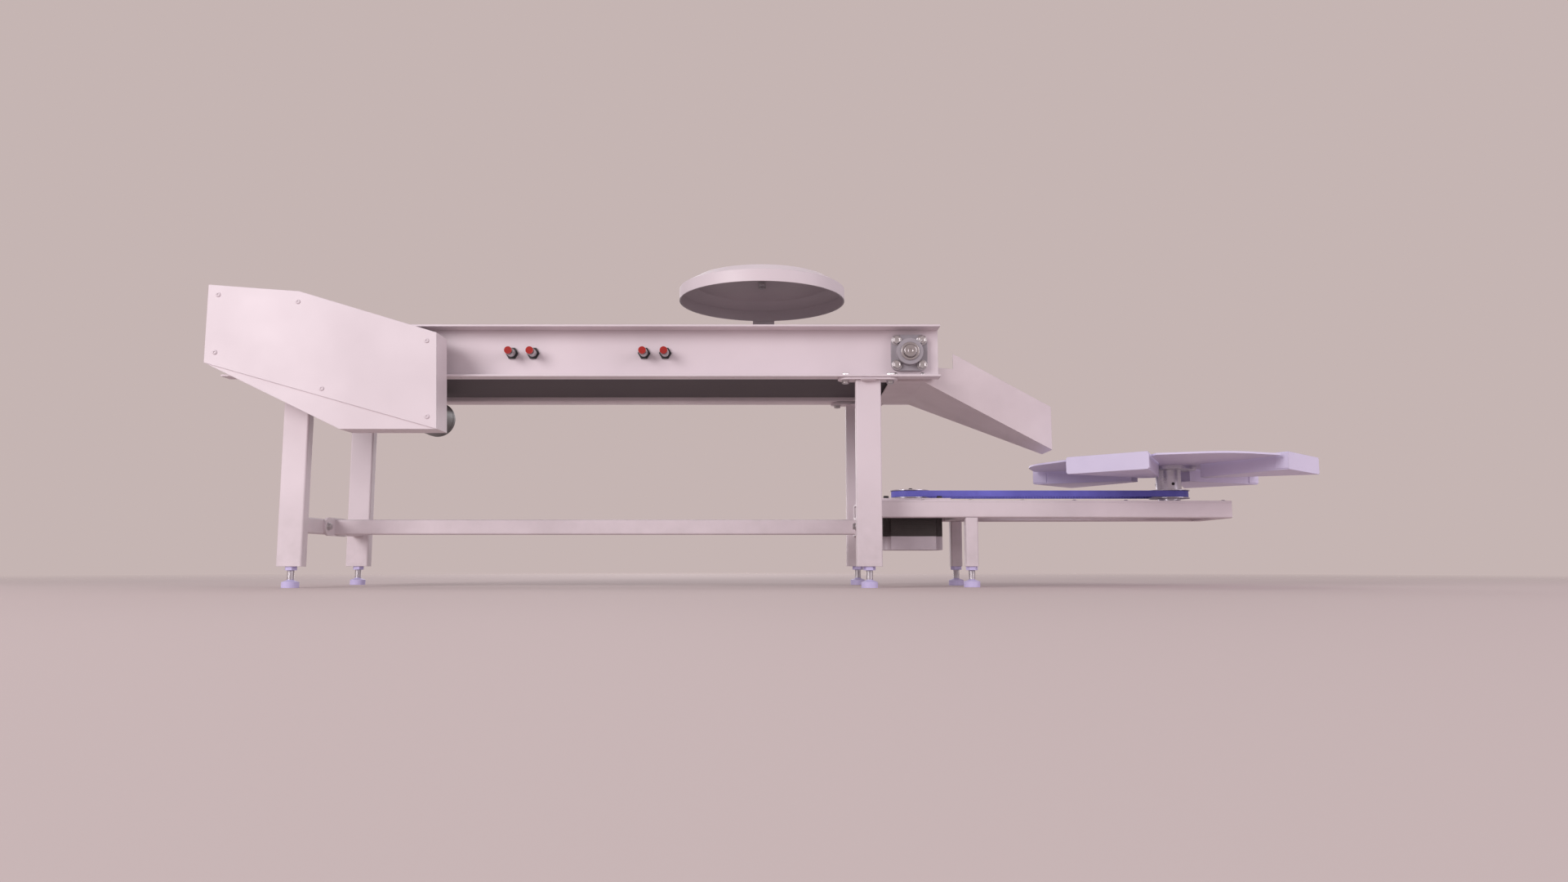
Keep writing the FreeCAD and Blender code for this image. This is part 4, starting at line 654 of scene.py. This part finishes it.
finishPiece(placed(socketScrew("clampScrew", motorLook["clampScrew"], motorLook["clampRise"]), spots,
                   "clampScrews"), "darkScrew")
seam = ringStack("motorSeam", 64, motorLook["seam"])
finishPiece(placed(seam, [((motorLook["x"], y, motorLook["height"]), (0, 1, 0))
                          for y in motorLook["seams"]], "motorSeams"), "blackHousing")


# weld fillets where the leg tubes meet their fixing pads
weldLook = {"legs": (-0.767, 0.133), "across": 0.132, "padLow": 0.326, "long": 0.0448, "wide": 0.0248,
            "high": 0.0024, "steps": ((0.955, 0.4), (0.93, 0.6)), "round": 0.0006}
clearSelection()
bpy.ops.mesh.primitive_plane_add(size=1, location=(0, 0, 0))
weld = bpy.context.object
weld.name = "weld"
bpy.ops.object.mode_set(mode="EDIT")
bpy.ops.mesh.select_all(action="SELECT")
bpy.ops.transform.resize(value=(weldLook["long"], weldLook["wide"], 1))
for share, rise in weldLook["steps"]:
    bpy.ops.mesh.extrude_region_move(TRANSFORM_OT_translate={"value": (0, 0, weldLook["high"] * rise)})
    bpy.ops.transform.resize(value=(share, share, 1))
bpy.ops.mesh.select_all(action="SELECT")
bpy.ops.mesh.normals_make_consistent(inside=False)
bpy.ops.object.mode_set(mode="OBJECT")
softEdges(weld, weldLook["round"])
finishPiece(placed(weld, [((x, side * weldLook["across"], weldLook["padLow"]), (0, 0, -1))
                          for x in weldLook["legs"] for side in (-1, 1)], "weldFillets"),
            "framePaint")


# stepper motor: the cable gland's nut and the nuts under its plate
glandLook = {"x": 0.1634, "y": 0.028, "height": 0.071,
             "rings": ((0.0062, 0), (0.0062, 0.0035), (0.0054, 0.0042), (0.0044, 0.0042),
                       (0.0044, 0.0090), (0.0036, 0.0100))}
glandNut = ringStack("glandNut", 6, glandLook["rings"])
finishPiece(placed(glandNut, [((glandLook["x"], glandLook["y"], glandLook["height"]), (-1, 0, 0))],
                   "glandNut"), "darkScrew")
plateNut = {"corner": 0.0038, "head": 0.003, "washer": 0.0006}
spots = [((plateLook["x"] + right * plateLook["place"], up * plateLook["place"], plateLook["under"]),
          (0, 0, -1)) for right in (-1, 1) for up in (-1, 1)]
finishPiece(placed(hexBolt("plateNut", plateNut), spots, "plateNuts"), "zincPlate")


# grub screws in the carousel's hub
hubLook = {"x": 0.6515, "height": 0.1705, "radius": 0.0202, "screw": 0.0026, "rise": 0.0009, "turn": 31.0}
spots = []
for step in range(3):
    angle = math.radians(hubLook["turn"] + 120 * step)
    spots.append(((hubLook["x"] + hubLook["radius"] * math.cos(angle), hubLook["radius"] * math.sin(angle),
                   hubLook["height"]), (math.cos(angle), math.sin(angle), 0)))
finishPiece(placed(socketScrew("hubScrew", hubLook["screw"], hubLook["rise"]), spots, "hubScrews"),
            "darkScrew", "carousel")


# floor, light and camera
studio = {"floor": (0.60, 0.50, 0.485), "size": 30.0, "inset": 21.0, "fade": (1.2, 3.4),
          "sky": (0.56, 0.462, 0.45), "skyLight": (0.66, 0.64, 0.67), "skyStrength": 0.66,
          "lampAim": (0, 0, 0.25)}
clearSelection()
bpy.ops.mesh.primitive_circle_add(vertices=96, radius=studio["size"], fill_type="NGON")
floor = bpy.context.object
floor.name = "studioFloor"
bpy.ops.object.mode_set(mode="EDIT")
bpy.ops.mesh.inset(thickness=studio["inset"])
bpy.ops.object.mode_set(mode="OBJECT")
floorMat = bpy.data.materials.new("studioFloor")
floorMat.use_nodes = True
floorShader = floorMat.node_tree.nodes["Principled BSDF"]
floorShader.inputs["Base Color"].default_value = (*studio["floor"], 1)
floorShader.inputs["Roughness"].default_value = 0.9
floorShader.inputs["Specular IOR Level"].default_value = 0.1
# far from the machine the floor fades out into the backdrop, so no horizon shows
spot = addNode(floorMat, "TexCoord")
reach = addNode(floorMat, "VectorMath", operation="LENGTH")
wire(floorMat, spot, "Object", reach, 0)
fade = addNode(floorMat, "MapRange", {"From Min": studio["fade"][0], "From Max": studio["fade"][1]},
               interpolation_type="SMOOTHSTEP")
wire(floorMat, reach, "Value", fade, "Value")
clear = addNode(floorMat, "BsdfTransparent")
ground = addNode(floorMat, "MixShader")
wire(floorMat, fade, "Result", ground, 0)
wire(floorMat, floorShader, "BSDF", ground, 1)
wire(floorMat, clear, "BSDF", ground, 2)
# seen from below, the floor lets the underside of the machine show
side = addNode(floorMat, "NewGeometry")
choice = addNode(floorMat, "MixShader")
wire(floorMat, side, "Backfacing", choice, 0)
wire(floorMat, ground, "Shader", choice, 1)
wire(floorMat, clear, "BSDF", choice, 2)
wire(floorMat, choice, "Shader", floorMat.node_tree.nodes["Material Output"], "Surface")
floor.data.materials.append(floorMat)

world = bpy.data.worlds.new("studioSky")
bpy.context.scene.world = world
world.use_nodes = True
glow = world.node_tree.nodes["Background"]
glow.inputs["Color"].default_value = (*studio["skyLight"], 1)
glow.inputs["Strength"].default_value = studio["skyStrength"]
backdrop = world.node_tree.nodes.new("ShaderNodeBackground")
backdrop.inputs["Color"].default_value = (*studio["sky"], 1)
path = world.node_tree.nodes.new("ShaderNodeLightPath")
seen = world.node_tree.nodes.new("ShaderNodeMath")
seen.operation = "MAXIMUM"
mirrored = world.node_tree.nodes.new("ShaderNodeMath")
mirrored.operation = "MAXIMUM"
links = world.node_tree.links
links.new(path.outputs["Is Glossy Ray"], mirrored.inputs[0])
links.new(path.outputs["Is Transmission Ray"], mirrored.inputs[1])
links.new(path.outputs["Is Camera Ray"], seen.inputs[0])
links.new(mirrored.outputs[0], seen.inputs[1])
mixSky = world.node_tree.nodes.new("ShaderNodeMixShader")
links.new(seen.outputs[0], mixSky.inputs[0])
links.new(glow.outputs[0], mixSky.inputs[1])
links.new(backdrop.outputs[0], mixSky.inputs[2])
links.new(mixSky.outputs[0], world.node_tree.nodes["World Output"].inputs["Surface"])

lamps = {
    "keyLamp": {"place": (-2.6, -2.9, 1.5), "size": 2.2, "power": 90, "tint": (1.0, 0.955, 0.975)},
    "fillLamp": {"place": (2.8, -1.8, 1.3), "size": 2.4, "power": 40, "tint": (1.0, 0.93, 0.98)},
    "topLamp": {"place": (0.3, 1.0, 3.2), "size": 2.8, "power": 7, "tint": (1.0, 0.98, 1.0)},
    "rearLamp": {"place": (-0.6, 3.2, 1.2), "size": 2.4, "power": 28, "tint": (0.97, 0.96, 1.0)},
}
for lampName, lamp in lamps.items():
    light = bpy.data.lights.new(lampName, "AREA")
    light.shape = "DISK"
    light.size = lamp["size"]
    light.energy = lamp["power"]
    light.color = lamp["tint"]
    lampObject = bpy.data.objects.new(lampName, light)
    bpy.context.scene.collection.objects.link(lampObject)
    lampObject.location = lamp["place"]
    aim = Vector(studio["lampAim"]) - Vector(lamp["place"])
    lampObject.rotation_euler = aim.to_track_quat("-Z", "Y").to_euler()
    lampObject.visible_camera = False

cameraView = {"place": (0.0, -1.80, 0.035), "aim": (0.0, 0.0, 0.245), "lens": 24.44}
cameraData = bpy.data.cameras.new("floorCamera")
cameraData.lens = cameraView["lens"]
cameraData.sensor_width = 36
cameraData.clip_start = 0.02
cameraObject = bpy.data.objects.new("floorCamera", cameraData)
bpy.context.scene.collection.objects.link(cameraObject)
cameraObject.location = cameraView["place"]
gaze = Vector(cameraView["aim"]) - Vector(cameraView["place"])
cameraObject.rotation_euler = gaze.to_track_quat("-Z", "Y").to_euler()
bpy.context.scene.camera = cameraObject
bpy.context.scene.view_settings.view_transform = "Standard"
print("stage set")
